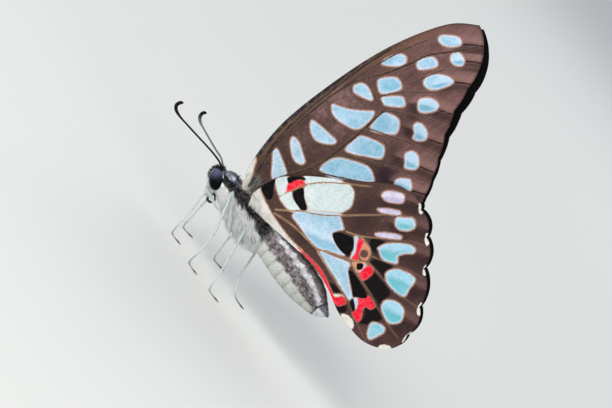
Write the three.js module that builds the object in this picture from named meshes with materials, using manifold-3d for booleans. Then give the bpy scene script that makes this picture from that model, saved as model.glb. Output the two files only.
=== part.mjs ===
// A swallowtail butterfly of the jay kind, life size, at rest with its wings closed over its back.
// Millimetres, +Z up, head towards -X, the butterfly's own left side towards -Y.
// Everything is drawn from the forewing's hinge, and the finished group is then stood on the floor.
import * as THREE from 'three';
import { mergeVertices } from 'three/addons/utils/BufferGeometryUtils.js';
import Module from 'manifold-3d';

const wasm = await Module();
wasm.setup();

// ---------- driving dimensions ----------

const hingeHeight = 12.2; // forewing hinge above the floor
const hingeForward = 7.95; // forewing hinge ahead of the middle of the whole animal
const wingThickness = 0.5;
const seam = 0.04; // left open between neighbouring pieces
const footSole = 0.1; // how much of a foot's underside is flattened by the floor
const farSweep = 0.95; // degrees by which the right forewing lies further back than the left one

// Wing outlines as [x, z]. The costa runs from hinge to apex, the inner edge from hinge to rear
// corner, and the outer edge is a row of shallow lobes between the notches.
// Depths are distances from the mid plane: at the root, over the disc and in the belly of the edge.
const fullLobe = 3.5; // width from which a lobe has its whole height
const lobeRoundness = 0.7; // 1 is a sine, smaller is flatter with tighter notches
const marginEase = 2; // how much later the edge's bulge sets in close to the two side margins
const forewing = {
  costa: [[-0.9, -0.5], [-2.9, 3.5], [-4.25, 11], [-3.8, 21.5], [-2.4, 30], [0.25, 37.35], [3.3, 40.8]],
  inner: [[1.6, -0.6], [4.5, 3.5], [11, 11], [17.3, 18.4]],
  notches: [[3.3, 40.8], [6, 39.5], [8.1, 37.2], [9.3, 34.1], [10.35, 30.8], [12, 27.45],
    [13.85, 24.6], [15.5, 22], [16.7, 19.8], [17.3, 18.4]],
  lobeHeight: 0.2,
  columnsPerLobe: 3,
  rows: 8,
  depth: { root: 1.3, disc: 0.56, belly: 1.9, bellyWidth: 0.72, edge: 0 },
};
const hindwing = {
  costa: [[0.9, 0.6], [1.4, 4.6], [3.7, 8], [9, 13.4], [13.3, 17.7], [17, 18.6]],
  inner: [[1.8, -1], [5, -0.5], [8.5, 0], [11, 0.4], [14.6, 0.72], [18.2, 0.38], [21.6, -0.55], [24.6, -0.45]],
  notches: [[17, 18.6], [18.3, 18.05], [21.8, 16.25], [25, 13.15], [28.8, 9.2], [30.8, 5.25], [30.05, 1.3],
    [24.6, -0.45]],
  lobeHeight: 0.8,
  columnsPerLobe: 4,
  rows: 8,
  depth: { root: 1.9, disc: 1.22, belly: 0, bellyWidth: 1, edge: -0.25 },
};

// The trunk's sections along X: [x, top, bottom, half width].
const trunkSections = [
  [-3.9, -0.7, -3.2, 0.7], [-3.4, -0.42, -3.8, 1.0], [-2.9, -0.2, -4.1, 1.25], [-2.2, 0.02, -4.5, 1.5],
  [-1.4, 0.25, -4.9, 1.95], [0, 0.55, -5.4, 2.35], [2, 0.7, -6.1, 2.5], [4, 0.55, -6.1, 2.4],
  [5.5, 0.15, -5.6, 2.05], [6.6, -0.25, -4.85, 1.7],
  [9, 0.15, -5.0, 1.85], [12, 0.45, -5.25, 1.95], [15, 0.4, -5.15, 1.85], [17, 0.1, -4.8, 1.65],
  [18.6, -0.55, -4.45, 1.35], [19.7, -1.25, -4.05, 1.0], [20.7, -1.85, -3.1, 0.5], [21.2, -2.2, -2.7, 0.2],
];
const collarFront = -3.85; // the collar reaches over the nape like a hood
const thoraxFront = -1.95;
const waist = 6.55;
const segmentEnds = [waist, 8.2, 10, 11.8, 13.6, 15.4, 17.1, 18.8, 21.2];
const thoraxLoft = { rings: 8, sides: 16, drawnIn: 0.05 };
const collarLoft = { rings: 3, sides: 14, drawnIn: 0.05 };
const segmentLoft = { rings: 3, sides: 12, drawnIn: 0.06 };

// Head and eyes are ellipsoids whose long axes lean forwards by the same angle, in degrees.
const faceLean = 42.5;
const head = { centre: [-4.2, 0, -2.6], radii: [1.3, 1.3, 1.9], columns: 14, rows: 10 };
const eye = { centre: [-4.2, 1.12, -2.58], radii: [0.93, 0.85, 1.55], columns: 14, rows: 8 };
const proboscis = {
  centre: [-2.85, 0, -5.2],
  innerRadius: 0.28,
  pitch: 0.54,
  turns: 1.1,
  radius: 0.25,
  points: 12,
  rings: 14,
  sides: 6,
};
const palpus = {
  path: [[-3.1, 0.42, -4.35], [-3.6, 0.48, -4.5], [-4.15, 0.48, -4.3], [-4.7, 0.42, -3.87]],
  radius: 0.27,
  taper: 0.15,
  rings: 6,
  sides: 6,
};
const antenna = { radius: 0.25, clubRadius: 0.36, clubFrom: 0.72, clubFull: 0.9, rings: 14, sides: 6 };
const antennaPaths = {
  left: [[-4.9, -0.5, -1.2], [-5.6, -1, -0.65], [-7.05, -1.9, -0.3], [-11.65, -4.7, 0.05], [-13.8, -5.8, 0.2],
    [-14.7, -6.3, 0.5], [-15.1, -6.6, 1.05], [-14.95, -6.8, 1.75], [-14.6, -6.9, 2.1]],
  right: [[-4.9, 0.5, -1.2], [-6.3, 1.2, -0.65], [-8.2, 2.3, -0.7], [-12.1, 5, -0.85], [-13.4, 5.9, -0.8],
    [-14.05, 6.4, -0.4], [-14.15, 6.7, 0.15], [-13.8, 6.9, 0.5]],
};

// Each leg runs through its joints: coxa, knee, ankle, then the tarsus down to and along the floor.
const floorAt = -hingeHeight;
const femurRadius = 0.36;
const tibiaRadius = 0.28;
const tarsusRadius = 0.25;
const limbSides = 6;
const tarsusRings = 8;
const soleHeight = tarsusRadius - footSole;
const legs = {
  fore_left: { coxa: [-0.6, -1, -5.2], knee: [-3.75, -2.2, -4.3], ankle: [-3, -2.6, -7.4],
    foot: [[-2.5, -2.9, -10.2], [-2, -3.1], [-0.3, -3.3]] },
  fore_right: { coxa: [-0.6, 1, -5.2], knee: [-3.6, 2.4, -4.5], ankle: [-3.3, 2.8, -7.6],
    foot: [[-3, 3.2, -10.2], [-2.6, 3.5], [-0.9, 3.9]] },
  mid_left: { coxa: [2.9, -2.2, -5.6], knee: [-1, -3.5, -1.1], ankle: [2.2, -4.8, -6.8],
    foot: [[2.8, -5.3, -9.6], [3.2, -5.7], [4.9, -6.2]] },
  mid_right: { coxa: [2.9, 2.2, -5.6], knee: [1.6, 4.7, -3.2], ankle: [2.6, 5.4, -8.3],
    foot: [[3, 5.7, -10.3], [3.6, 5.9], [5.4, 6.2]] },
  hind_left: { coxa: [4.95, -1.35, -5.7], knee: [4.6, -5, -2.75], ankle: [6.7, -5.6, -8.3],
    foot: [[7.3, -5.9, -10.1], [8.1, -6.1], [9.9, -6.3]] },
  hind_right: { coxa: [5.2, 1.3, -5.75], knee: [6.95, 4.2, -6.2], ankle: [8.05, 3.4, -9.85],
    foot: [[9.3, 2.7, -11.3], [10.5, 2.2], [12.1, 1.8]] },
};
const coxae = [
  { from: [-1.5, 1.3, -3.4], to: [-0.6, 1, -5.1], radius: 0.6 },
  { from: [1.6, 1.6, -4], to: [2.9, 2, -5.5], radius: 0.7 },
  { from: [4.2, 1.6, -4], to: [5, 1.3, -5.6], radius: 0.7 },
];

// ---------- materials ----------

const paint = (name, color, roughness) => new THREE.MeshStandardMaterial(
  { name, color, roughness, metalness: 0 });
const materials = {
  wing: paint('wing_scales', 0x6b5048, 0.7),
  fur: paint('body_fur', 0xc9c6bc, 0.9),
  dark: paint('dark_fur', 0x2e2a2c, 0.85),
  eye: paint('eye', 0x16161c, 0.25),
  horn: paint('antenna_horn', 0x141212, 0.45),
  leg: paint('leg_scales', 0xc3c5bd, 0.75),
};

// ---------- solids ----------

function bare(geometry) {
  geometry.deleteAttribute('normal');
  geometry.deleteAttribute('uv');
  return mergeVertices(geometry, 1e-4);
}

function moved(geometry, place) {
  const position = geometry.attributes.position;
  for (let i = 0; i < position.count; i += 1) {
    position.setXYZ(i, ...place(position.getX(i), position.getY(i), position.getZ(i)));
  }
  return bare(geometry);
}

function toSolid(geometry) {
  return new wasm.Manifold(new wasm.Mesh({
    numProp: 3,
    vertProperties: geometry.attributes.position.array,
    triVerts: new Uint32Array(geometry.index.array),
  }));
}

function toGeometry(solid) {
  const mesh = solid.getMesh();
  const geometry = new THREE.BufferGeometry();
  geometry.setAttribute('position', new THREE.BufferAttribute(mesh.vertProperties, 3));
  geometry.setIndex(new THREE.BufferAttribute(mesh.triVerts, 1));
  return geometry;
}

// What is left of a piece outside its neighbours, without the slivers that a cut can leave loose.
function cutBy(geometry, ...tools) {
  const left = tools.reduce((solid, tool) => solid.subtract(toSolid(tool)), toSolid(geometry));
  return toGeometry(left.decompose().sort((a, b) => b.volume() - a.volume())[0]);
}

function joined(...pieces) {
  return toGeometry(pieces.map(toSolid).reduce((solid, piece) => solid.add(piece)));
}

// A round profile of [radius, height] pairs, from axis to axis.
function lathe(profile, sides) {
  const points = profile.map(([radius, height]) => new THREE.Vector2(radius, height));
  return new THREE.LatheGeometry(points, sides);
}

function ellipsoid({ centre: [x, y, z], radii, columns, rows }, grow = 0, side = 1) {
  const [rx, ry, rz] = radii.map((radius) => radius + grow);
  const lean = THREE.MathUtils.degToRad(faceLean);
  return moved(new THREE.SphereGeometry(1, columns, rows), (px, py, pz) => [
    x + px * rx * Math.cos(lean) - py * rz * Math.sin(lean),
    side * y - pz * ry,
    z + py * rz * Math.cos(lean) + px * rx * Math.sin(lean),
  ]);
}

// A straight limb piece: a spindle from one joint to the next, thickest a third of the way down.
function limb(from, to, radius, grow = 0) {
  const start = new THREE.Vector3(...from);
  const along = new THREE.Vector3(...to).sub(start);
  const length = along.length() + 2 * grow;
  const r = radius + grow;
  const spindle = [[0, 0], [0.7, 0.02], [1, 0.3], [0.8, 0.98], [0, 1]];
  const geometry = lathe(spindle.map(([wide, up]) => [wide * r, up * length]), limbSides);
  geometry.translate(0, -grow, 0);
  const turn = new THREE.Quaternion().setFromUnitVectors(new THREE.Vector3(0, 1, 0), along.normalize());
  geometry.applyQuaternion(turn);
  geometry.translate(...from);
  return bare(geometry);
}

// A bent tube through points, its radius a function of the way along it.
function whip(points, radiusAt, steps, sides) {
  const joints = points.map((point) => new THREE.Vector3(...point));
  const curve = new THREE.CatmullRomCurve3(joints, false, 'centripetal');
  const frames = curve.computeFrenetFrames(steps);
  const profile = [[0, 0]];
  for (let i = 0; i <= steps; i += 1) profile.push([1, i]);
  profile.push([0, steps]);
  return moved(lathe(profile, sides), (p, step, q) => {
    const i = Math.round(step);
    const radius = radiusAt(i / steps);
    const at = curve.getPointAt(i / steps);
    at.addScaledVector(frames.normals[i], q * radius);
    at.addScaledVector(frames.binormals[i], p * radius);
    return at.toArray();
  });
}

// ---------- trunk ----------

const trunk = new THREE.CubicInterpolant(
  trunkSections.map(([x]) => x), trunkSections.flatMap(([, ...sizes]) => sizes), 3, new Float32Array(3));

// The trunk between two places along X, its ends drawn in a little so that creases show.
function trunkSlice(from, to, { rings, sides, drawnIn }, grow = 0) {
  const profile = [[0, 0]];
  for (let i = 0; i <= rings; i += 1) {
    const u = i / rings;
    profile.push([1 - drawnIn * Math.abs(2 * u - 1) ** 6, u]);
  }
  profile.push([0, 1]);
  return moved(lathe(profile, sides), (p, u, q) => {
    const x = THREE.MathUtils.lerp(from + seam / 2 - grow, to - seam / 2 + grow, u);
    const [top, bottom, halfWidth] = trunk.evaluate(x);
    return [x, -p * (halfWidth + grow), (top + bottom) / 2 + q * ((top - bottom) / 2 + grow)];
  });
}

// The thorax with the bases of its legs, which don't move on it.
function thoraxSolid(grow) {
  const bases = coxae.flatMap(({ from: [x, y, z], to: [u, v, w], radius }) => [-1, 1].map(
    (side) => limb([x, y * side, z], [u, v * side, w], radius, grow)));
  return joined(trunkSlice(thoraxFront, waist, thoraxLoft, grow), ...bases);
}
const grownThorax = thoraxSolid(seam);

// ---------- head ----------

const grownHead = ellipsoid(head, seam);
const grownEyes = [-1, 1].map((side) => ellipsoid(eye, seam, side));
const headSolid = cutBy(ellipsoid(head), ...grownEyes);
const collarSolid = cutBy(trunkSlice(collarFront, thoraxFront, collarLoft), grownHead, ...grownEyes);
const grownCollar = trunkSlice(collarFront, thoraxFront, collarLoft, seam);

function palpusSolid(side) {
  const path = palpus.path.map(([x, y, z]) => [x, y * side, z]);
  const tube = whip(path, (t) => palpus.radius * (1 - palpus.taper * t * t), palpus.rings, palpus.sides);
  return cutBy(tube, grownHead, ellipsoid(eye, seam, side), grownCollar);
}

function proboscisSolid() {
  const [x, y, z] = proboscis.centre;
  const path = [];
  for (let i = 0; i <= proboscis.points; i += 1) {
    const turn = (i / proboscis.points) * proboscis.turns;
    const angle = 2 * Math.PI * (turn - 0.25);
    const radius = proboscis.innerRadius + turn * proboscis.pitch;
    path.push([x - radius * Math.cos(angle), y, z - radius * Math.sin(angle)]);
  }
  return cutBy(whip(path, () => proboscis.radius, proboscis.rings, proboscis.sides), grownHead, grownCollar);
}

function antennaSolid(path) {
  const { radius, clubRadius, clubFrom, clubFull, rings, sides } = antenna;
  const radiusAt = (t) => radius + (clubRadius - radius) * THREE.MathUtils.smoothstep(t, clubFrom, clubFull);
  return cutBy(whip(path, radiusAt, rings, sides), grownHead);
}

// ---------- wings ----------

const planar = (points) => new THREE.SplineCurve(points.map(([x, z]) => new THREE.Vector2(x, z)));

// A point of the outer edge, s running from the apex (0) to the rear corner (1).
function outerEdge({ notches, lobeHeight }, s) {
  const lobes = notches.length - 1;
  const lobe = Math.min(Math.floor(s * lobes + 1e-6), lobes - 1);
  const u = s * lobes - lobe;
  const a = new THREE.Vector2(...notches[lobe]);
  const b = new THREE.Vector2(...notches[lobe + 1]);
  const chord = b.clone().sub(a);
  const outwards = new THREE.Vector2(-chord.y, chord.x).normalize();
  const height = lobeHeight * Math.min(1, chord.length() / fullLobe);
  const arch = Math.max(0, Math.sin(Math.PI * u)) ** lobeRoundness;
  return a.lerp(b, u).addScaledVector(outwards, height * arch);
}

function depthOf({ root, disc, belly, bellyWidth, edge }, s, t) {
  const swell = s < bellyWidth ? Math.sin((Math.PI * s) / bellyWidth) ** 2 : 0;
  return disc + (root - disc) * (1 - t) ** 4 + belly * t * t * swell + edge * s * t * t;
}

function wingSolid(wing, side, sweep) {
  const costa = planar(wing.costa);
  const inner = planar(wing.inner);
  const columns = (wing.notches.length - 1) * wing.columnsPerLobe;
  const apex = costa.getPoint(1);
  const corner = inner.getPoint(1);
  const panel = new THREE.BoxGeometry(1, 1, 1, columns, wing.rows, 1);
  const bent = moved(panel, (px, py, pz) => {
    const s = 0.5 + px;
    const t = 0.5 + py;
    const at = costa.getPointAt(t).lerp(inner.getPointAt(t), s);
    const bulge = outerEdge(wing, s).sub(apex.clone().lerp(corner, s));
    const share = t ** (1 + marginEase * Math.abs(2 * s - 1) ** 4);
    at.addScaledVector(bulge, share).rotateAround(new THREE.Vector2(0, 0), -THREE.MathUtils.degToRad(sweep));
    return [at.x, side * depthOf(wing.depth, s, t) - pz * wingThickness, at.y];
  });
  return cutBy(bent, grownThorax);
}

// ---------- legs ----------

function legSolids({ coxa, knee, ankle, foot }) {
  const [shin, heel, toe] = foot;
  const heelAt = [...heel, floorAt + soleHeight];
  const toeAt = [...toe, floorAt + soleHeight];
  const floorSlab = new THREE.BoxGeometry(60, 40, 4).translate(0, 0, floorAt - 2);
  const femur = cutBy(limb(coxa, knee, femurRadius), grownThorax);
  const tibia = cutBy(limb(knee, ankle, tibiaRadius), limb(coxa, knee, femurRadius, seam));
  const tarsus = cutBy(
    whip([ankle, shin, heelAt, toeAt], () => tarsusRadius, tarsusRings, limbSides),
    limb(knee, ankle, tibiaRadius, seam), bare(floorSlab));
  return { femur, tibia, tarsus };
}

// ---------- assembly ----------

const butterfly = new THREE.Group();
butterfly.position.set(-hingeForward, 0, hingeHeight);

function add(name, geometry, material) {
  const mesh = new THREE.Mesh(geometry, material);
  mesh.name = name;
  butterfly.add(mesh);
}

add('head', headSolid, materials.dark);
add('proboscis', proboscisSolid(), materials.horn);
add('prothorax', collarSolid, materials.fur);
add('thorax', thoraxSolid(0), materials.fur);
for (let i = 1; i < segmentEnds.length; i += 1) {
  add(`abdomen_segment_${i}`, trunkSlice(segmentEnds[i - 1], segmentEnds[i], segmentLoft), materials.fur);
}
for (const [name, side] of [['left', -1], ['right', 1]]) {
  add(`eye_${name}`, ellipsoid(eye, 0, side), materials.eye);
  add(`palpus_${name}`, palpusSolid(side), materials.fur);
  add(`antenna_${name}`, antennaSolid(antennaPaths[name]), materials.horn);
  add(`forewing_${name}`, wingSolid(forewing, side, side > 0 ? farSweep : 0), materials.wing);
  add(`hindwing_${name}`, wingSolid(hindwing, side, 0), materials.wing);
}
for (const [name, leg] of Object.entries(legs)) {
  for (const [segment, geometry] of Object.entries(legSolids(leg))) {
    add(`${name}_${segment}`, geometry, materials.leg);
  }
}

export default butterfly;
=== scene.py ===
import math

import bpy
import numpy as np
from mathutils import Matrix


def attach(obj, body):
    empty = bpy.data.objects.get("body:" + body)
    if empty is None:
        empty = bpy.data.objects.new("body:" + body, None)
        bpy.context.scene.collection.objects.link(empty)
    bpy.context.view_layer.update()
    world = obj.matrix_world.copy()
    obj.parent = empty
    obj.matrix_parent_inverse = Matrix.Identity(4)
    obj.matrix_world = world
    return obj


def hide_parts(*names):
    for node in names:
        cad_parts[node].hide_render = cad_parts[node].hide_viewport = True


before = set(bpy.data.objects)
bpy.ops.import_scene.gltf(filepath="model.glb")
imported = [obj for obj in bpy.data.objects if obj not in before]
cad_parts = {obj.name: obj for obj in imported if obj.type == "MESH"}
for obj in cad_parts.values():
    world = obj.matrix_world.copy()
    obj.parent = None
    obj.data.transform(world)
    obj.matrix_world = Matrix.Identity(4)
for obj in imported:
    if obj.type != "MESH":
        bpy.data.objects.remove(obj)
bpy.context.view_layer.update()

scene = bpy.context.scene

# Shapes are drawn in millimetres from the forewing's hinge, head towards -X and the animal's left
# towards -Y, and set into the frame by these two distances.
hinge = {"behindMiddle": -7.95, "aboveFloor": 12.2}
millimetre = 0.001


def toFrame(points):
    return (np.asarray(points, float) + (hinge["behindMiddle"], 0, hinge["aboveFloor"])) * millimetre


def unit(vectors):
    vectors = np.asarray(vectors, float)
    return vectors / np.linalg.norm(vectors, axis=-1, keepdims=True)


def placeLooking(data, axes, place):
    # a camera or lamp that looks back along the last of its three axes
    made = bpy.data.objects.new(data.name, data)
    made.matrix_world = Matrix([[*row] for row in np.column_stack([*axes, place])] + [[0, 0, 0, 1]])
    scene.collection.objects.link(made)
    return made


view = {"azimuth": 7, "elevation": 13, "roll": 50, "distance": 350, "lens": 145, "sensor": 36,
        "target": (6.9, -1.3, 5.6), "clip": (0.01, 20)}


def placeCamera():
    az, el, roll = (math.radians(view[key]) for key in ("azimuth", "elevation", "roll"))
    side = np.array([math.cos(az), math.sin(az), 0])
    ahead = np.array([-math.sin(az) * math.cos(el), math.cos(az) * math.cos(el), -math.sin(el)])
    above = np.cross(side, ahead)
    right = side * math.cos(roll) + above * math.sin(roll)
    up = above * math.cos(roll) - side * math.sin(roll)
    data = bpy.data.cameras.new("camera")
    data.lens, data.sensor_width = view["lens"], view["sensor"]
    data.clip_start, data.clip_end = view["clip"]
    place = toFrame(np.array(view["target"]) - ahead * view["distance"])
    scene.camera = placeLooking(data, (right, up, -ahead), place)


# each lamp: direction from the middle, distance, diameter, power and colour
lamps = {
    "key": ((-0.35, -0.8, 0.9), 0.5, 0.3, 1.15, (1, 0.98, 0.94)),
    "fill": ((0.9, -0.7, 0.35), 0.6, 0.4, 0.5, (0.94, 0.97, 1)),
    "back": ((0.1, 0.9, 0.7), 0.6, 0.4, 0.8, (1, 1, 1)),
    "low": ((-0.5, -0.85, 0.04), 0.6, 0.5, 3.4, (1, 1, 1))}
lampTarget = (6, 0, 10)
studioSky = {"colour": (0.86, 0.92, 1.0, 1), "strength": 0.7}
studioFloor = {"reach": 4, "colour": (214, 213, 208), "roughness": 0.9}


def placeLamps():
    for name, (towards, distance, size, power, colour) in lamps.items():
        data = bpy.data.lights.new(name, "AREA")
        data.shape, data.size, data.energy, data.color = "DISK", size, power, colour
        back = unit(towards)
        side = unit(np.cross((0, 0, 1), back))
        placeLooking(data, (side, np.cross(back, side), back), toFrame(lampTarget) + back * distance)
    world = bpy.data.worlds.new("studio")
    scene.world = world
    world.use_nodes = True
    world.node_tree.nodes["Background"].inputs["Color"].default_value = studioSky["colour"]
    world.node_tree.nodes["Background"].inputs["Strength"].default_value = studioSky["strength"]
    scene.view_settings.view_transform = "Standard"


def placeFloor():
    r = studioFloor["reach"]
    mesh = bpy.data.meshes.new("floor")
    mesh.from_pydata([(-r, -r, 0), (r, -r, 0), (r, r, 0), (-r, r, 0)], [], [(0, 1, 2, 3)])
    floor = bpy.data.objects.new("floor", mesh)
    scene.collection.objects.link(floor)
    finish = Finish("pale_floor", Base_Color=tint(*studioFloor["colour"]), Roughness=studioFloor["roughness"])
    floor.data.materials.append(finish.material)


def tint(red, green, blue):
    # a screen colour of 0 to 255 as the linear colour that sockets and attributes take
    return tuple((c / 12.92 if c <= 0.04045 else ((c + 0.055) / 1.055) ** 2.4)
                 for c in (red / 255, green / 255, blue / 255)) + (1.0,)


def tints(**colours):
    return {name: tint(*colour) for name, colour in colours.items()}


def mixed(share, first, second):
    # an array of colours between two, share 0 to 1 from the first to the second
    share = np.asarray(share, float)[..., None]
    return np.array(first) * (1 - share) + np.array(second) * share


class Graph:
    # a node tree with short ways to add nodes; an input takes a value or another node's output
    prefix = "GeometryNode"

    def node(self, kind, inputs=(), **settings):
        made = self.tree.nodes.new(kind if kind.startswith(("Shader", "Function")) else self.prefix + kind)
        for key, value in settings.items():
            setattr(made, key, value)
        for socket, value in dict(inputs).items():
            if hasattr(value, "is_output"):
                self.tree.links.new(value, made.inputs[socket])
            else:
                made.inputs[socket].default_value = value
        return made.outputs

    def maths(self, operation, first, second):
        return self.node("ShaderNodeMath", {0: first, 1: second}, operation=operation)[0]

    def times(self, first, second):
        return self.maths("MULTIPLY", first, second)

    def plus(self, first, second):
        return self.maths("ADD", first, second)


class Finish(Graph):
    # a Principled material; keywords set its sockets, with _ for a space
    prefix = "ShaderNode"

    def __init__(self, name, **sockets):
        self.material = bpy.data.materials.new(name)
        self.material.use_nodes = True
        self.tree = self.material.node_tree
        self.shader = self.tree.nodes["Principled BSDF"]
        for socket, value in sockets.items():
            self.shader.inputs[socket.replace("_", " ")].default_value = value

    def field(self, name, output="Fac"):
        return self.node("Attribute", attribute_name=name)[output]

    def step(self, value, low, high, floor=0.0, ceiling=1.0):
        return self.node("MapRange", {"Value": value, "From Min": low, "From Max": high, "To Min": floor,
                                      "To Max": ceiling}, interpolation_type="SMOOTHSTEP")[0]

    def blend(self, factor, first, second, mode="MIX"):
        return self.node("Mix", {0: factor, 6: first, 7: second}, data_type="RGBA", blend_type=mode)[2]

    def cover(self, base, *layers):
        # lays colours over a base one after another, each by its share
        for share, colour in layers:
            base = self.blend(share, base, colour)
        return base

    def place(self, scale=(1, 1, 1), uvMap=None):
        source = self.node("UVMap", uv_map=uvMap)[0] if uvMap else self.node("TexCoord")["Object"]
        return self.node("Mapping", {"Vector": source, "Scale": scale})[0]

    def noise(self, scale, detail=2.0, place=None, roughness=0.5):
        return self.node("TexNoise", {"Vector": place or self.place(), "Scale": scale, "Detail": detail,
                                      "Roughness": roughness})["Fac"]

    def finished(self, colour, height, distance, strength):
        # joins the colour and the fine relief to the shader
        self.tree.links.new(colour, self.shader.inputs["Base Color"])
        relief = self.node("Bump", {"Height": height, "Distance": distance, "Strength": strength})[0]
        self.tree.links.new(relief, self.shader.inputs["Normal"])
        return self.material


def addUv(mesh, name, corners):
    # corners: one (u, v) for each corner of each face
    layer = mesh.uv_layers.new(name=name)
    layer.data.foreach_set("uv", np.asarray(corners, np.float32).ravel())


def addField(mesh, key, values):
    values = np.asarray(values, np.float32)
    width = 1 if values.ndim == 1 else values.shape[1]
    kind, socket = {1: ("FLOAT", "value"), 3: ("FLOAT_VECTOR", "vector"), 4: ("FLOAT_COLOR", "color")}[width]
    mesh.attributes.new(key, kind, "POINT").data.foreach_set(socket, values.ravel())


def buildMesh(name, points, faces, corners, fields):
    mesh = bpy.data.meshes.new(name)
    mesh.from_pydata(toFrame(points).tolist(), [], faces)
    addUv(mesh, "OFBake", corners)
    for key, values in fields.items():
        addField(mesh, key, values)
    mesh.shade_smooth()
    return mesh


def addPiece(name, mesh, nodes=(), material=None):
    piece = bpy.data.objects.new(name, mesh)
    scene.collection.objects.link(piece)
    if material:
        piece.data.materials.clear()
        piece.data.materials.append(material)
    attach(piece, "root")
    if nodes:
        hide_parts(*nodes)


def facesOutwards(points, faces, corners):
    # turns every face round if the closed shape is inside out
    p = np.asarray(points, float)
    volume = sum(np.einsum("ij,ij->", p[f[:, 0]], np.cross(p[f[:, k - 1]], p[f[:, k]]))
                 for f in faces for k in range(2, f.shape[1]))
    if volume < 0:
        faces = [f[:, ::-1] for f in faces]
        corners = [c[:, ::-1] for c in corners]
    flat = [row for f in faces for row in f.tolist()]
    return flat, np.concatenate([c.reshape(-1, 2) for c in corners])


uvMargin = 0.02


def loft(name, rings, fields):
    # a closed skin through rings of points, with a pole at each end; fields hold one value for each ring point
    rings = np.asarray(rings, float)
    n, m = rings.shape[:2]
    points = np.vstack([rings.reshape(-1, 3), rings[0].mean(0), rings[-1].mean(0)])

    def uv(ring, side):
        return np.column_stack([uvMargin + (1 - 2 * uvMargin) * ring / (n - 1),
                                uvMargin + (1 - 2 * uvMargin) * side / m])

    i, j = (a.ravel() for a in np.meshgrid(np.arange(n - 1), np.arange(m), indexing="ij"))
    k = (j + 1) % m
    quads = np.column_stack([i * m + j, i * m + k, (i + 1) * m + k, (i + 1) * m + j])
    quadUv = np.stack([uv(i, j), uv(i, j + 1), uv(i + 1, j + 1), uv(i + 1, j)], 1)
    j = np.arange(m)
    k = (j + 1) % m
    last = (n - 1) * m
    start, end = np.zeros(m), np.full(m, n - 1)
    caps = np.vstack([np.column_stack([np.full(m, n * m), k, j]),
                      np.column_stack([np.full(m, n * m + 1), last + j, last + k])])
    capUv = np.concatenate([np.stack([uv(start, j + 0.5), uv(start, j + 1), uv(start, j)], 1),
                            np.stack([uv(end, j + 0.5), uv(end, j), uv(end, j + 1)], 1)])
    faces, corners = facesOutwards(points, [quads, caps], [quadUv, capUv])
    padded = {}
    for key, values in fields.items():
        values = np.asarray(values, float).reshape(n, m, -1)
        full = np.vstack([values.reshape(n * m, -1), values[0].mean(0), values[-1].mean(0)])
        padded[key] = full[:, 0] if full.shape[1] == 1 else full
    return buildMesh(name, points, faces, corners, padded)


def addLoft(name, rings, slot, nodes, material, **fields):
    mesh = loft(name, rings, fields)
    addPiece(name, mesh, nodes, material)
    return mesh


def smoothstep(value, low, high):
    t = np.clip((np.asarray(value, float) - low) / (high - low), 0, 1)
    return t * t * (3 - 2 * t)


def spline(a, b, c, d, t):
    # the stretch from b to c of a smooth curve through a, b, c and d
    return 0.5 * (2 * b + (c - a) * t + (2 * a - 5 * b + 4 * c - d) * t ** 2 + (3 * b - 3 * c + d - a) * t ** 3)


def byLength(dense):
    # reads a finely divided line by the share of its length
    length = np.r_[0, np.cumsum(np.linalg.norm(np.diff(dense, axis=0), axis=1))]

    def at(share):
        s = np.asarray(share, float) * length[-1]
        return np.stack([np.interp(s, length, column) for column in dense.T], -1)

    return at


curveSteps = {"line": 60, "outline": 5, "limb": 40}


def evenCurve(points):
    points = np.asarray(points, float)
    p = np.vstack([points[:1], points, points[-1:]])
    t = np.linspace(0, 1, curveSteps["line"], endpoint=False)[:, None]
    parts = [spline(*four, t) for four in zip(p, p[1:], p[2:], p[3:])]
    return byLength(np.vstack([*parts, points[-1:]]))


def rounded(points):
    # a closed outline that is drawn smoothly through its points
    p = np.asarray(points, float)
    t = np.arange(curveSteps["outline"])[:, None, None] / curveSteps["outline"]
    curve = spline(np.roll(p, 1, 0), p, np.roll(p, -1, 0), np.roll(p, -2, 0), t)
    return curve.transpose(1, 0, 2).reshape(-1, 2)


def drawn(line, count):
    return evenCurve(line)(np.linspace(0, 1, count))


def reach(points, path):
    # distance of each point from each straight stretch of a path
    start, along = path[:-1], np.diff(path, axis=0)
    away = points[:, None, :] - start[None]
    t = np.clip((away * along).sum(-1) / np.maximum((along * along).sum(-1), 1e-12), 0, 1)
    return np.linalg.norm(away - t[..., None] * along, axis=-1)


markReach = 1.6  # how far from its outline a mark is still measured


def insideDepth(points, outline):
    # how deep each point lies inside a closed outline; below zero outside it
    depth = np.full(len(points), -markReach)
    near = np.flatnonzero(((points > outline.min(0) - markReach) & (points < outline.max(0) + markReach)).all(1))
    if not len(near):
        return depth
    p = points[near]
    a, b = outline, np.roll(outline, -1, 0)
    distance = reach(p, np.vstack([outline, outline[:1]])).min(1)
    crossing = (a[None, :, 1] > p[:, None, 1]) != (b[None, :, 1] > p[:, None, 1])
    rise = np.where(np.abs(b[:, 1] - a[:, 1]) < 1e-9, 1e-9, b[:, 1] - a[:, 1])
    at = a[None, :, 0] + (p[:, None, 1] - a[None, :, 1]) * ((b[:, 0] - a[:, 0]) / rise)[None]
    inside = (crossing & (p[:, None, 0] < at)).sum(1) % 2 == 1
    depth[near] = np.maximum(np.where(inside, distance, -distance), -markReach)
    return depth


def patches(points, outlines):
    return np.max([insideDepth(points, rounded(outline)) for outline in outlines], axis=0)


farAway = 9.0


def strokes(points, lines):
    # distance from the nearest of several lines, each with a half width
    return np.minimum.reduce([np.full(len(points), farAway)] + [
        reach(points, drawn(line, 6 * len(line))).min(1) - width for line, width in lines])


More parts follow.
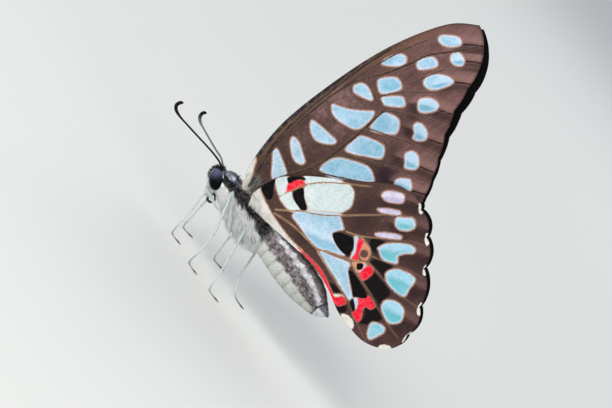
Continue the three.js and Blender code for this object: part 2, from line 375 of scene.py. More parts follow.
class Tree(Graph):
    # a Geometry Nodes tree with a mesh in, a mesh out and named inputs
    def __init__(self, name, **sockets):
        self.tree = bpy.data.node_groups.new(name, "GeometryNodeTree")
        face = self.tree.interface
        for label, kind in (("Geometry", "Geometry"), *sockets.items()):
            face.new_socket(label, in_out="INPUT", socket_type="NodeSocket" + kind)
        face.new_socket("Geometry", in_out="OUTPUT", socket_type="NodeSocketGeometry")
        self.entry = self.tree.nodes.new("NodeGroupInput").outputs
        self.exit = self.tree.nodes.new("NodeGroupOutput").inputs

    def named(self, name, kind="FLOAT"):
        return self.node("InputNamedAttribute", {"Name": name}, data_type=kind)["Attribute"]

    def vector(self, operation, first, second=(0, 0, 0)):
        return self.node("ShaderNodeVectorMath", {0: first, 1: second}, operation=operation)[0]

    def scaled(self, first, scale):
        return self.node("ShaderNodeVectorMath", {0: first, 3: scale}, operation="SCALE")[0]

    def realized(self, geometry):
        return self.node("RealizeInstances", {"Geometry": geometry})[0]

    def finished(self, geometry):
        done = self.node("SetMaterial", {"Geometry": geometry, "Material": self.entry["Material"]})[0]
        self.tree.links.new(done, self.exit[0])
        return self.tree


tuftPatch = 0.003  # how much of the OFBake map one tuft covers


def coatTree():
    # tufts on a skin, each leaning along the skin's own lie, with its map patch at its root
    t = Tree("coatTufts", Tuft="Object", Density="Float", Length="Float", Width="Float", Lift="Float",
             Wander="Float", Material="Material", Seed="Int")
    inputs = t.entry
    scatter = t.node("DistributePointsOnFaces", {"Mesh": inputs["Geometry"], "Seed": inputs["Seed"],
                                                 "Density": t.times(t.named("fur"), inputs["Density"])})
    kept = t.node("StoreNamedAttribute", {"Geometry": scatter["Points"], "Name": "rootPlace",
                                          "Value": t.named("OFBake", "FLOAT_VECTOR")},
                  data_type="FLOAT_VECTOR", domain="POINT")["Geometry"]
    kept = t.node("RemoveAttribute", {"Geometry": kept, "Name": "OFBake"})["Geometry"]
    wild = t.node("FunctionNodeRandomValue", {0: (-1, -1, -1), 1: (1, 1, 1), "Seed": inputs["Seed"]},
                  data_type="FLOAT_VECTOR")[0]
    along = t.vector("ADD", t.named("lie", "FLOAT_VECTOR"), t.scaled(scatter["Normal"], inputs["Lift"]))
    along = t.vector("ADD", along, t.scaled(wild, inputs["Wander"]))
    turn = t.node("FunctionNodeAxesToRotation", {"Primary Axis": t.vector("NORMALIZE", along),
                                                 "Secondary Axis": scatter["Normal"]},
                  primary_axis="Z", secondary_axis="Y")[0]
    spread = t.node("FunctionNodeRandomValue", {2: 0.7, 3: 1.25, "Seed": inputs["Seed"]}, data_type="FLOAT")[1]
    length = t.times(t.times(t.named("furLength"), inputs["Length"]), spread)
    size = t.node("ShaderNodeCombineXYZ", {"X": inputs["Width"], "Y": inputs["Width"], "Z": length})[0]
    blade = t.node("ObjectInfo", {"Object": inputs["Tuft"]})["Geometry"]
    placed = t.node("InstanceOnPoints", {"Points": kept, "Instance": blade, "Rotation": turn, "Scale": size})[0]
    local = t.scaled(t.vector("SUBTRACT", t.named("strand", "FLOAT_VECTOR"), (0.5, 0.5, 0)), tuftPatch)
    patch = t.vector("ADD", t.named("rootPlace", "FLOAT_VECTOR"), local)
    mapped = t.node("StoreNamedAttribute", {"Geometry": t.realized(placed), "Name": "OFBake", "Value": patch},
                    data_type="FLOAT2", domain="CORNER")["Geometry"]
    return t.finished(mapped)


def tubeTree():
    # round tubes along the edges of a mesh, as thick as each point's girth
    t = Tree("veinTubes", Sides="Int", Material="Material")
    curve = t.node("MeshToCurve", {"Mesh": t.entry["Geometry"]})[0]
    profile = t.node("CurvePrimitiveCircle", {"Resolution": t.entry["Sides"], "Radius": 1.0})[0]
    tube = t.node("CurveToMesh", {"Curve": curve, "Profile Curve": profile, "Scale": t.named("girth"),
                                  "Fill Caps": True})[0]
    return t.finished(t.realized(t.node("SetShadeSmooth", {"Geometry": tube})[0]))


def grow(name, source, tree, slot, **settings):
    # runs a tree on a mesh and keeps the result as a plain piece
    holder = bpy.data.objects.new(name + "_source", source)
    scene.collection.objects.link(holder)
    modifier = holder.modifiers.new("nodes", "NODES")
    modifier.node_group = tree
    for item in tree.interface.items_tree:
        if item.in_out == "INPUT" and item.name in settings:
            modifier[item.identifier] = settings[item.name]
    depsgraph = bpy.context.evaluated_depsgraph_get()
    mesh = bpy.data.meshes.new_from_object(holder.evaluated_get(depsgraph), preserve_all_data_layers=True,
                                           depsgraph=depsgraph)
    mesh.name = name
    holder.modifiers.remove(modifier)
    bpy.data.objects.remove(holder)
    for spare in ("lie", "fur", "furLength", "rootPlace", "girth"):
        if spare in mesh.attributes:
            mesh.attributes.remove(mesh.attributes[spare])
    print(name, len(mesh.polygons), "faces")
    addPiece(name, mesh)


# Tufts are drawn at unit length along Z, their width along X and their flat side along Y. Each kind has so
# many blades, which start within the root's reach, spread and curl towards their tips, and have so many
# sides and rings; the flatness is their depth as a share of their width.
tuftKinds = {
    "hair": {"count": 4, "root": 0.5, "spread": 0.9, "width": 0.16, "curl": 0.4, "sides": 3, "flatness": 1.0,
             "seed": 1},
    "fur": {"count": 4, "root": 0.8, "spread": 1.1, "width": 0.26, "curl": 0.5, "sides": 3, "flatness": 0.35,
            "seed": 2},
    "scale": {"count": 1, "root": 0, "spread": 0, "width": 1, "curl": 0.15, "sides": 4, "flatness": 0.18,
              "seed": 1}}
bladeRings = 3


def bladeWidth(kind, height):
    # hairs taper from the root, scales are widest above it
    if kind["sides"] > 3:
        return kind["width"] * np.sin(np.pi * min(0.25 + 0.62 * height, 1))
    return kind["width"] * (1 - 0.75 * height)


def tuftObject(name, kind):
    random = np.random.default_rng(kind["seed"])
    sides, curl = kind["sides"], kind["curl"]
    points, faces = [], []
    for _ in range(kind["count"]):
        root = random.uniform(-1, 1, 2) * kind["root"]
        lean = random.uniform(-1, 1, 2) * kind["spread"]
        tall = random.uniform(0.75, 1.0) if kind["count"] > 1 else 1.0
        first = len(points)
        for ring in range(bladeRings):
            h = ring / bladeRings
            wide = bladeWidth(kind, h)
            x, y = root + lean * h ** 1.5
            for angle in 2 * np.pi * (np.arange(sides) + 0.5) / sides:
                points.append((x + wide * np.cos(angle),
                               y + wide * kind["flatness"] * np.sin(angle) - curl * h * h, h * tall))
        end = root + lean
        points.append((end[0], end[1] - curl, tall))
        tip, top = len(points) - 1, first + (bladeRings - 1) * sides
        around = [(side, (side + 1) % sides) for side in range(sides)]
        for low in range(first, top, sides):
            faces += [(low + a, low + b, low + b + sides, low + a + sides) for a, b in around]
        faces += [(top + a, top + b, tip) for a, b in around]
        faces.append(tuple(range(first + sides - 1, first - 1, -1)))
    mesh = bpy.data.meshes.new(name)
    mesh.from_pydata(points, [], faces)
    addUv(mesh, "strand", np.clip([((points[c][0] + 1) / 2, points[c][2]) for face in faces for c in face], 0, 1))
    mesh.shade_smooth()
    made = bpy.data.objects.new(name, mesh)
    scene.collection.objects.link(made)
    return made


# outlines as x and z; depth is the distance from the mid plane at the root, the disc, the belly and the edge
forewing = {
    "costa": [[-0.9, -0.5], [-2.9, 3.5], [-4.25, 11], [-3.8, 21.5], [-2.4, 30], [0.25, 37.35], [3.3, 40.8]],
    "inner": [[1.6, -0.6], [4.5, 3.5], [11, 11], [17.3, 18.4]],
    "notches": [[3.3, 40.8], [6, 39.5], [8.1, 37.2], [9.3, 34.1], [10.35, 30.8], [12, 27.45], [13.85, 24.6],
                [15.5, 22], [16.7, 19.8], [17.3, 18.4]],
    "lobeHeight": 0.2, "fullLobe": 3.5,
    "depth": {"root": 1.3, "disc": 0.56, "belly": 1.9, "bellyWidth": 0.72, "edge": 0},
    "columns": 132, "rows": 200, "reach": 0.998}

hindwing = {
    "costa": [[0.9, 0.6], [1.4, 4.6], [3.7, 8], [9, 13.4], [13.3, 17.7], [17, 18.6]],
    "inner": [[1.8, -1], [5, -0.5], [8.5, 0], [11, 0.4], [14.6, 0.72], [18.2, 0.38], [21.6, -0.55],
              [24.6, -0.45]],
    "notches": [[17, 18.6], [18.3, 18.05], [21.8, 16.25], [25, 13.15], [28.8, 9.2], [30.8, 5.25], [30.05, 1.3],
                [24.6, -0.45]],
    "lobeHeight": 0.8, "fullLobe": 3.5,
    "depth": {"root": 1.9, "disc": 1.22, "belly": 0, "bellyWidth": 1, "edge": -0.25},
    "columns": 168, "rows": 150, "reach": 0.986}

# sizes of both wings' surfaces, and how many degrees the far forewing is swept forwards
membrane = {"halfThickness": 0.05, "veinRelief": 0.05, "foldRelief": 0.07, "ripple": 0.05, "farSweep": 0.95}

# outlines of the marks; clouds and hazes as x, z, radius and strength; folds; veins with their half widths
forewingMarks = {
    "blue": [
        [(1.3, 35.1), (1.05, 35.95), (2.7, 37.5), (3.75, 37.1), (2.7, 35.5)],
        [(4.0, 35.4), (4.5, 36.2), (5.7, 36.1), (6.1, 35.3), (5.3, 34.6), (4.4, 34.7)],
        [(2.6, 33), (3.9, 32.65), (2.95, 30.75), (2.25, 30.35), (1.65, 31.2)],
        [(7.05, 33), (5.75, 32.65), (4.45, 31.35), (4.25, 29.95), (5.05, 29.5), (6.1, 30.05), (6.9, 31.7)],
        [(-0.1, 30.05), (0.6, 29.6), (0.35, 28.4), (-1.3, 26.8), (-1.55, 27.7), (-0.95, 29.45)],
        [(5.95, 27.6), (6.8, 29), (8.1, 29.35), (8.55, 28.65), (8, 27.35), (7.05, 26.65)],
        [(0.05, 25), (0.65, 26.2), (1.55, 27.15), (2.9, 26.9), (2.9, 26), (1.8, 24.1), (0.8, 24.3)],
        [(2.35, 23.9), (3.8, 25.8), (4.45, 26), (5.2, 25.3), (3.55, 23.55), (2.9, 23.45)],
        [(-1.55, 21.8), (-1, 22.9), (0.2, 23.05), (1.65, 22.45), (0.2, 21.55), (-1, 21.2)],
        [(3.1, 21.55), (3.65, 20.2), (3.45, 18.2), (1.8, 17.2), (-0.2, 16.8), (-1.55, 17.55), (-0.65, 18.2),
         (0.65, 19.1), (2.2, 20.65)],
        [(-1.7, 13.8), (-0.65, 14.2), (1.1, 14.5), (2.8, 14.7), (2.45, 13.65), (0.9, 12.55), (-0.65, 12.8)],
        [(4, 22.45), (5.1, 23.3), (6.35, 23.55), (7.35, 22.45), (7.1, 21.55), (4.8, 19.65), (4.2, 20.8)],
        [(4.4, 15.45), (4.4, 16.9), (4.65, 18.1), (7.1, 19.45), (8, 19.45), (8.8, 18.35), (7.9, 17.35),
         (5.1, 15.1)],
        [(4.65, 13.2), (5.8, 14.3), (7.9, 15.7), (9.05, 16), (10.3, 15.6), (10.5, 15.15), (8.85, 13.3), (6.5, 11),
         (5, 10.5), (4.4, 10.4), (4.2, 11.5)],
        [(8.15, 25.25), (8.85, 25.8), (10, 25.7), (10.65, 25.15), (10.75, 24.65), (10.2, 23.9), (9.45, 23.6),
         (9.15, 24.2), (8.4, 24.55)],
        [(10.5, 21.6), (10.95, 22.4), (11.9, 22.55), (12.95, 21.8), (13.05, 21.05), (12.5, 20.4), (11.9, 20.1),
         (11.45, 20.55), (10.75, 21.05)],
        [(12.6, 18.3), (13.45, 19.35), (13.9, 19.5), (14.75, 19.05), (14.85, 18.55), (13.7, 17.3), (12.8, 17.5)]],
    "grey": [
        [(-1.5, 10.3), (-1.6, 9.8), (-0.7, 9), (0.9, 8.3), (2, 8.6), (2.15, 9.3), (1, 9.8), (-0.5, 10.35)],
        [(-1.9, 7.2), (-1, 7.1), (2, 6), (1.4, 4.8), (0.9, 4.1), (-1, 5.8), (-1.9, 6.6)]],
    "cream": [[(-2.9, 3.9), (-2.6, 3.9), (-1.8, 2.7), (-1, 1.7), (-0.4, 0.9), (-0.1, 0.3), (-0.5, -0.2), (-1, 0),
               (-1.7, 0.9), (-2.5, 2.5)]],
    "clouds": [(11, 17, 2.6, 0.9), (8.6, 24.3, 1.3, 0.6), (7, 25.2, 1.6, 0.5), (1.5, 6.5, 2.2, 0.25),
               (3, 29, 1.3, 0.35), (-1.9, 4.4, 1.1, 0.8), (9.3, 20.6, 1.3, 0.55), (7.2, 30.6, 1, 0.3)],
    "hazes": [(-1.9, 15.6, 1.3, 0.5), (-1.6, 19.2, 1.6, 0.75), (1.2, 19.6, 1.3, 0.45), (1.6, 15.8, 1.4, 0.35),
              (-0.6, 11.4, 1.2, 0.3)],
    "folds": [[(3.9, 37.35), (4.8, 38.4), (6.2, 39.6)], [(5.9, 36.05), (6.8, 37), (8, 38)],
              [(6.5, 31.9), (7.4, 33.2), (9.3, 34.9)], [(6.2, 27.0), (8.3, 28.6), (11.2, 30.3)],
              [(8.6, 24.2), (10.7, 25), (13, 26.4)], [(10.9, 20.6), (13, 21.7), (15.6, 23.1)],
              [(13.2, 17.8), (14.8, 18.6), (17, 20.1)]],
    "girth": 0.8,
    "veins": [
        ([(-0.3, 0.6), (-1.4, 3.5), (-2.3, 6), (-2.95, 9), (-3.25, 13.5), (-3.2, 18), (-2.8, 24.7),
          (-2.2, 29.2)], 0.2),
        ([(-0.2, 0.8), (-1.1, 3.5), (-1.95, 6), (-2.5, 9), (-2.7, 13.5), (-2.6, 18), (-2.1, 21.5), (-1.2, 23.9),
          (0, 26.4), (1.1, 29.6), (1.9, 32.6), (3.1, 34.6), (4.5, 36.8), (5.6, 38.8)], 0.15),
        ([(-2.5, 20), (-1.9, 25), (-1.0, 30), (0.3, 34)], 0.1),
        ([(-1.15, 23.9), (0.2, 23.55), (1.8, 23.3), (3.1, 23.1), (3.9, 22.6)], 0.09),
        ([(0.3, 0.5), (1.1, 3.5), (2.2, 6.5), (3.4, 9.3), (3.95, 12.6), (4.05, 15.8), (4.1, 18.2), (3.95, 20.5),
          (3.9, 22.6)], 0.16),
        ([(3.3, 27.8), (4.1, 30.5), (4.9, 32.9), (6.6, 35.6), (7.9, 37)], 0.07),
        ([(1.8, 23.3), (3.5, 26.4), (5.4, 28.6), (7.6, 31.3), (9.2, 33.4)], 0.08),
        ([(3.9, 22.6), (5.3, 24.2), (7.4, 26.0), (9.8, 27.6), (11.6, 28.6)], 0.09),
        ([(4.0, 19.2), (5.8, 20.4), (7.6, 21.4), (10.2, 23.1), (13.9, 24.7)], 0.09),
        ([(3.95, 13.55), (6, 15), (8.85, 17.25), (11.7, 19.35), (14, 20.6), (16, 21.4)], 0.1),
        ([(3.4, 9.3), (5, 10.2), (8, 12.6), (12, 15.9), (16, 18.6)], 0.1)]}

hindwingMarks = {
    "pale": [
        [(2.3, 6), (3.1, 5.4), (3.7, 4.6), (3.6, 3.4), (3.2, 3.4), (2, 3.9), (1.4, 4.5), (1.6, 5.3)],
        [(4.2, 5), (5, 4.6), (7, 4.4), (6.2, 3.2), (4, 3.1), (3.8, 3.7)],
        [(3.7, 7.9), (4.5, 9.1), (5.8, 10.4), (7, 11.4), (7.9, 11.7), (6.1, 9.5), (5.3, 8.3), (4.9, 7.4)],
        [(8.5, 12.1), (9.3, 12.25), (10.15, 12), (11.25, 10.55), (11.2, 9.6), (10.95, 8.5), (10.05, 6.9),
         (9, 5.75), (7.7, 5), (7.5, 5.5), (6, 6.1), (5, 7), (5.4, 8.2), (7, 10.5)]],
    "cream": [
        [(-0.3, 1.9), (0.6, 1.9), (1.6, 1.5), (3, 1.1), (5, 0.75), (8, 0.6), (10.6, 0.72), (11.8, 0.95),
         (11.4, 0.5), (10, 0), (6, -1), (2, -1.6), (-0.5, -1)],
        [(19.3, 0.45), (19.5, 0.8), (20.2, 1.5), (20.5, 1.45), (20, 0.9), (19.6, 0.4)]],
    "lilac": [
        [(13.05, 16.1), (13.9, 16.95), (14.85, 17.45), (15.5, 16.75), (15.15, 16.1), (14, 15.05), (13.05, 14.95),
         (12.75, 15.4)],
        [(14, 13.3), (14.8, 13.5), (16.5, 15.1), (16.2, 15.5), (14.8, 14.3)],
        [(16.5, 10.8), (17.3, 11.1), (19.2, 13), (18.9, 13.4), (17.3, 12)],
        [(18.6, 6.75), (18.85, 6.9), (19.3, 6.6), (19.55, 6.1), (19.3, 5.55), (19.05, 5.6), (19.2, 6.1),
         (19, 6.45)]],
    "sky": [
        [(7, 4.2), (7.7, 5), (10.95, 8.5), (11.4, 8.35), (12.3, 8), (13.1, 7.6), (12.8, 7.1), (12.5, 6),
         (13.3, 5.55), (14.5, 5.3), (16, 5.3), (13, 3.1), (12.5, 2.9), (10.5, 2.75), (9, 2.9), (7, 3)],
        [(13.2, 2.9), (15, 3.9), (17, 5.1), (17.6, 5.1), (17.9, 4.5), (19.2, 3.6), (20.5, 2.9), (21.3, 2.6),
         (21.4, 1.9), (20, 2), (17, 2.35), (14, 2.6)],
        [(21.6, 2.8), (22.2, 2.8), (23, 2), (22.8, 1.7), (22, 2.2)],
        [(14.9, 8.3), (15.4, 8.5), (16.4, 7.4), (17, 6.4), (16.9, 5.8), (16.2, 6.9), (15.3, 7.8)]],
    "turquoise": [
        [(16.75, 14.85), (17.45, 15.6), (18.2, 16.4), (18.95, 16.2), (19.35, 15.6), (19.05, 14.75), (18.3, 14),
         (17.5, 13.8), (16.85, 14.3)],
        [(18.3, 9.95), (18.65, 11.2), (19.45, 12.35), (20.6, 13.5), (21.65, 13.9), (22, 13.3), (21.3, 12.35),
         (20.95, 11.3), (21.65, 10.65), (20.85, 9.85), (19.8, 9.35), (18.65, 9.7)],
        [(21.75, 8.55), (22.2, 9.95), (23.5, 10.85), (24.5, 11.2), (25.2, 11), (25.55, 9.6), (25.95, 8.55),
         (25.2, 8), (23.8, 7.75), (22.55, 7.85)],
        [(24.7, 5.8), (25.3, 6.7), (26.35, 7.2), (27.5, 7.05), (28.3, 5.9), (28, 4.9), (27.25, 4.3),
         (25.75, 4.55), (24.95, 5)],
        [(25.9, 2.25), (26.35, 2.9), (27.5, 3.4), (28, 2.8), (27.85, 1.8), (27.6, 0.75), (27.05, 0.65),
         (26.35, 1.3)]],
    "red": [
        [(4, 7.3), (4.8, 7.25), (4.5, 6.2), (4, 5), (3.75, 4.55), (3, 5.5), (3.3, 6.5)],
        [(15.55, 8.5), (16.15, 8.8), (16.65, 8.2), (17.2, 7.1), (17.8, 6.45), (17, 5.95), (16.8, 6.8),
         (16.05, 7.7)],
        [(19.35, 7.2), (20.45, 7.1), (20.5, 5.3), (19.4, 5.35)],
        [(22.65, 4.4), (24.3, 4.3), (24.3, 3.5), (23.5, 3.05), (23.8, 2.25), (24.5, 1.45), (24.4, 0.75),
         (23.1, 1), (23.1, 1.65), (22.65, 2.5), (22.1, 3.05), (22.55, 3.6)],
        [(20.2, 1.4), (20.6, 1.45), (21.4, 1.2), (20.9, 0), (19.6, 0.2), (20.1, 0.8)]],
    "redLine": [([(11, 0.72), (12.2, 0.92), (13.6, 1.12), (14.6, 1.26)], 0.08),
                ([(12.6, 0.95), (14.7, 1.22), (16.4, 1.1), (17.9, 0.72)], 0.15),
                ([(14.8, 1.17), (16.4, 1.04), (18, 0.62), (19.2, 0.3), (20.3, 0.1)], 0.2)],
    "black": [
        [(1.1, 1.9), (0.2, 2.8), (1.3, 4.3), (2.1, 3.4), (3.1, 2.4), (3, 1.7), (2, 1.6)],
        [(2.3, 6), (3.7, 7.8), (4.3, 7.6), (3.7, 7.2), (3.3, 6.4), (3.1, 5.5)],
        [(4.7, 6.6), (5.4, 6.5), (6, 6), (7.5, 5.3), (7.4, 4.7), (6.8, 4.45), (5.5, 4.6), (4.9, 4.8), (4.4, 5.3)],
        [(12.55, 6.15), (13.2, 7), (14.1, 7.5), (15.05, 7.9), (16.15, 7), (16.35, 6.3), (16.6, 5.95),
         (15.95, 5.45), (14.55, 5.3), (13.3, 5.55), (12.6, 5.9)],
        [(18.1, 6.1), (18.65, 6.7), (19.15, 6.15), (18.7, 5.5)],
        [(18.05, 4.4), (18.55, 4.8), (20, 4.75), (21.75, 4.55), (22.65, 4.2), (22.55, 3.7), (21.75, 3),
         (21.3, 2.5), (20.6, 3.05), (19.2, 3.75)],
        [(21.4, 2.3), (22, 2.3), (23, 1.6), (22.9, 1.1), (22, 1.4)]],
    "shadows": [
        [(17.6, 1.2), (19.2, 1.75), (20.2, 1.65), (20.3, 1.45), (19.4, 0.7), (18.6, 0.9)],
        [(20.4, 7.1), (22.3, 7.3), (24.3, 7.2), (24.5, 6), (24.6, 4.9), (22.6, 5), (20.6, 5.2)],
        [(24.4, 4.2), (26.2, 4.2), (26.3, 3.1), (25.6, 1.6), (24.6, 0.9), (24.5, 2), (23.7, 3)],
        [(16.8, 10.2), (18.4, 11.2), (18.2, 9.9), (18.6, 9.2), (18, 8.9), (17, 9.3)],
        [(19.6, 9), (21.6, 9.8), (21.8, 8.6), (22.4, 7.9), (20.4, 7.8), (19.1, 7.7)],
        [(20.7, 0.2), (21.4, 1), (22.2, 0.7), (22.2, -0.1), (21.4, -0.4)]],
    "clouds": [(14, 10.2, 1.8, 0.5), (12.6, 12.6, 1.6, 0.4), (19.7, 13.2, 1, 0.5), (23.4, 12.3, 1, 0.4),
               (26.4, 9.6, 1.1, 0.5), (28.8, 4.6, 1.4, 0.6), (28.6, 1.4, 1, 0.4), (25.2, 13.4, 1.4, 0.3)],
    "peach": [[(16.2, 7.9), (16.1, 8.7), (17.5, 9), (18.4, 8.3), (18.6, 7.4), (17.7, 6.9)],
              [(17.5, 5.6), (17.8, 6.4), (18.9, 7.2), (19.5, 6.6), (19.3, 5.5), (18.9, 5.2), (18, 5.3)]],
    "discs": [[(17.05, 7.6), (17.3, 8.2), (17.9, 8.3), (18.25, 7.8), (18, 7.25), (17.4, 7.15)]],
    "crescents": [[(17.1, 18.5), (17.35, 18.15), (18, 17.65), (18.5, 17.7), (18.3, 18.3), (17.6, 18.6)],
                  [(21.1, 16.7), (21.1, 16.35), (21.6, 15.8), (22.4, 15.5), (22.3, 16.2), (21.4, 16.9)],
                  [(24.4, 13.7), (24.6, 13.1), (25.1, 12.5), (25.5, 12.6), (25.3, 13.4), (24.8, 13.8)],
                  [(28.1, 9.8), (28.3, 9), (28.8, 8.4), (29.4, 8.4), (29.2, 9.3), (28.6, 10)],
                  [(30.9, 6.4), (30.4, 6), (30.4, 4.8), (30.8, 4), (31.2, 4.3), (31.2, 6)],
                  [(30.6, 2.2), (30, 2.3), (29.2, 1.6), (29.2, 0.8), (29.9, 0.9), (30.5, 1.6)],
                  [(22.2, -0.3), (23, 0.35), (24, 0.4), (24.8, -0.2), (24.5, -0.8), (23, -0.8)]],
    "folds": [[(13.8, 15.5), (15, 16.6), (16.9, 17.9)], [(17.4, 14.2), (18.9, 15.6), (20.2, 16.6)],
              [(19, 10), (20.6, 12), (23.3, 14.3)], [(22.4, 8.4), (24.3, 9.6), (26.6, 11)],
              [(25.2, 5.2), (27.2, 6), (29.6, 7)], [(10, 3.0), (12, 4.1), (13.5, 5)]],
    "girth": 0.6,
    "veins": [
        ([(4.1, 5.1), (4.7, 7.2), (5.4, 8.5), (6.5, 10), (8.3, 11.9), (11, 14.6)], 0.07),
        ([(4.7, 1.6), (5.9, 2.9), (7.5, 4.7), (8.8, 5.7), (10.1, 7), (11.4, 8.6), (13.8, 11.7), (16.6, 15.1),
          (18.5, 16.6)], 0.08),
        ([(13.6, 7.7), (15.6, 9.1), (18.1, 11.7), (20.7, 14.2), (22.3, 15.3)], 0.06),
        ([(15.5, 8.9), (16.6, 9.0), (17.9, 8.7), (18.4, 8.3), (18.8, 7.4)], 0.09),
        ([(18.4, 8.3), (19.4, 8.8), (20.6, 9.5), (22.2, 10.5), (23.9, 11.5), (25.6, 12.2)], 0.07),
        ([(18.9, 7.4), (20.4, 7.55), (22.3, 7.6), (24.1, 7.7), (26.2, 8.3), (28.4, 9)], 0.08),
        ([(5.0, 1.15), (8.2, 2.2), (12.7, 2.8), (14, 3.8), (15.7, 4.8), (17, 5.6), (17.9, 6.3), (18.8, 7.4)],
         0.09),
        ([(17.3, 5.5), (18.8, 5.15), (20.6, 5), (22.4, 4.85), (24.2, 4.5), (26, 4.2), (28, 4), (30, 4)], 0.09),
        ([(12.7, 2.8), (13.9, 2.7), (16.6, 2.2), (19.3, 1.8), (21.7, 1.5), (23.4, 0.95), (25.6, 0.4),
          (27.6, 0)], 0.08)]}


def outerEdge(wing, s):
    # the lobed outer margin at shares s from the costa to the inner margin
    notches = np.array(wing["notches"], float)
    lobes = len(notches) - 1
    lobe = np.minimum((s * lobes + 1e-6).astype(int), lobes - 1)
    u = (s * lobes - lobe)[:, None]
    start = notches[lobe]
    chord = notches[lobe + 1] - start
    length = np.linalg.norm(chord, axis=1, keepdims=True)
    outwards = np.column_stack([-chord[:, 1], chord[:, 0]]) / length
    height = wing["lobeHeight"] * np.minimum(1, length / wing["fullLobe"])
    return start + chord * u + outwards * height * np.maximum(0, np.sin(np.pi * u)) ** 0.7


def wingSurface(wing, s, t):
    # x, z and the distance from the mid plane at shares s across and t along the wing
    costa, inner = evenCurve(wing["costa"])(t), evenCurve(wing["inner"])(t)
    chord = np.array(wing["costa"][-1]) + (np.array(wing["inner"][-1]) - wing["costa"][-1]) * s[:, None]
    share = t ** (1 + 2 * np.abs(2 * s - 1) ** 4)  # the edge's bulge sets in later close to the side margins
    plan = costa + (inner - costa) * s[:, None] + share[:, None] * (outerEdge(wing, s) - chord)
    d = wing["depth"]
    swell = np.where(s < d["bellyWidth"], np.sin(np.pi * s / d["bellyWidth"]) ** 2, 0)
    depth = d["disc"] + (d["root"] - d["disc"]) * (1 - t) ** 4 + (d["belly"] * swell + d["edge"] * s) * t * t
    return plan, depth


# Marks are drawn as they look from the left, a little from above, in the plane this far from the middle.
markPlane = 1.3
viewSlope = (0.123, 0.232)


def asSeen(plan, depth):
    return plan + np.outer(markPlane - depth, viewSlope)


def clouded(points, clouds):
    # soft round clouds, each with x, z, a radius and a strength
    total = np.zeros(len(points))
    for x, z, radius, strength in clouds:
        total += strength * np.exp(-((points - (x, z)) ** 2).sum(1) / radius ** 2)
    return np.clip(total, 0, 1)


def foldFields(points, folds):
    # the distance from the nearest fold, and a light that falls on one side of it
    nearest, signed = np.full(len(points), farAway), np.zeros(len(points))
    for line in folds:
        path = drawn(line, 24)
        distance = reach(points, path)
        stretch = distance.argmin(1)
        along, away = np.diff(path, axis=0)[stretch], points - path[stretch]
        side = distance.min(1) * np.sign(along[:, 0] * away[:, 1] - along[:, 1] * away[:, 0])
        closer = np.abs(side) < nearest
        signed = np.where(closer, side, signed)
        nearest = np.where(closer, np.abs(side), nearest)
    return nearest, np.clip(signed / 0.5, -1, 1) * np.exp(-(nearest / 1.5) ** 2)


def wingFields(points, marks):
    lines = ("redLine", "clouds", "hazes", "folds", "girth", "veins")
    fields = {key: patches(points, outlines) for key, outlines in marks.items() if key not in lines}
    if "redLine" in marks:
        fields["red"] = np.maximum(fields["red"], -strokes(points, marks["redLine"]))
    fields["vein"] = strokes(points, marks["veins"])
    fields["fold"], fields["lift"] = foldFields(points, marks["folds"])
    fields["cloud"] = clouded(points, marks["clouds"])
    fields["haze"] = clouded(points, marks.get("hazes", []))
    return fields


def sideBySide(plan, gap=0.2):
    # flat map places for the outer and inner side of a wing, next to each other across its narrow way
    low, span = plan.min(0), np.ptp(plan, axis=0)
    narrow = int(span[0] > span[1])
    room = span + 4 * gap
    room[narrow] += span[narrow] + 2 * gap
    flat, shift = (plan - low + gap) / room.max(), np.zeros(2)
    shift[narrow] = (span[narrow] + 3 * gap) / room.max()
    return np.vstack([flat, flat + shift])


def wingMesh(name, wing, marks, side, sweep, hair):
    # a thin closed plate; n columns run across the wing and m rows along it
    n, m = wing["columns"], wing["rows"]
    t, s = (a.ravel() for a in np.meshgrid(np.linspace(0, 1, m + 1), np.linspace(0, 1, n + 1), indexing="ij"))
    plan, depth = wingSurface(wing, s, t * wing["reach"])
    seen = asSeen(plan, depth)
    fields = wingFields(seen, marks)
    x, z = plan.T
    relief = (membrane["veinRelief"] * np.exp(-(np.maximum(fields["vein"], 0) / 0.35) ** 2)
              + membrane["foldRelief"] * fields["lift"] * np.exp(-(fields["fold"] / 0.9) ** 2)
              + membrane["ripple"] * np.sin(x * 0.9 + z * 0.5) * np.sin(z * 0.8)) * smoothstep(t, 0, 0.08)
    fields["outwards"] = t
    fields["rim"] = np.minimum.reduce([s * 20, (1 - s) * 20, (1 - t) * 30])
    fields["costal"] = np.linalg.norm(plan - evenCurve(wing["costa"])(t * wing["reach"]), axis=1)
    turn = math.radians(sweep)
    plan = plan @ np.array([[math.cos(turn), -math.sin(turn)], [math.sin(turn), math.cos(turn)]])
    outer, inner = (np.column_stack([plan[:, 0], side * (depth + relief + half), plan[:, 1]])
                    for half in (membrane["halfThickness"], -membrane["halfThickness"]))
    count = len(outer)
    i, j = (a.ravel() for a in np.meshgrid(np.arange(m), np.arange(n), indexing="ij"))
    a = i * (n + 1) + j
    quads = np.column_stack([a, a + 1, a + n + 2, a + n + 1])
    border = np.concatenate([np.arange(n), n + (n + 1) * np.arange(m), (n + 1) * m + n - np.arange(n),
                             (n + 1) * (m - np.arange(m))])
    following = np.roll(border, -1)
    rim = np.column_stack([border, following, following + count, border + count])
    back = quads[:, ::-1] + count
    uv = sideBySide(plan)
    rimUv = np.stack([uv[border], uv[following], uv[following] + 0.0004, uv[border] + 0.0004], 1)
    points = np.vstack([outer, inner])
    faces, corners = facesOutwards(points, [quads, back, rim], [uv[quads], uv[back], rimUv])
    double = {key: np.concatenate([value, value]) for key, value in fields.items()}
    double["under"] = np.r_[np.ones(count), np.zeros(count)]
    for key, value in hair(seen).items():  # only the outer side has hair
        double[key] = np.concatenate([value, value * 0 if key == "fur" else value])
    return buildMesh(name, points, faces, corners, double), seen, plan, depth + relief


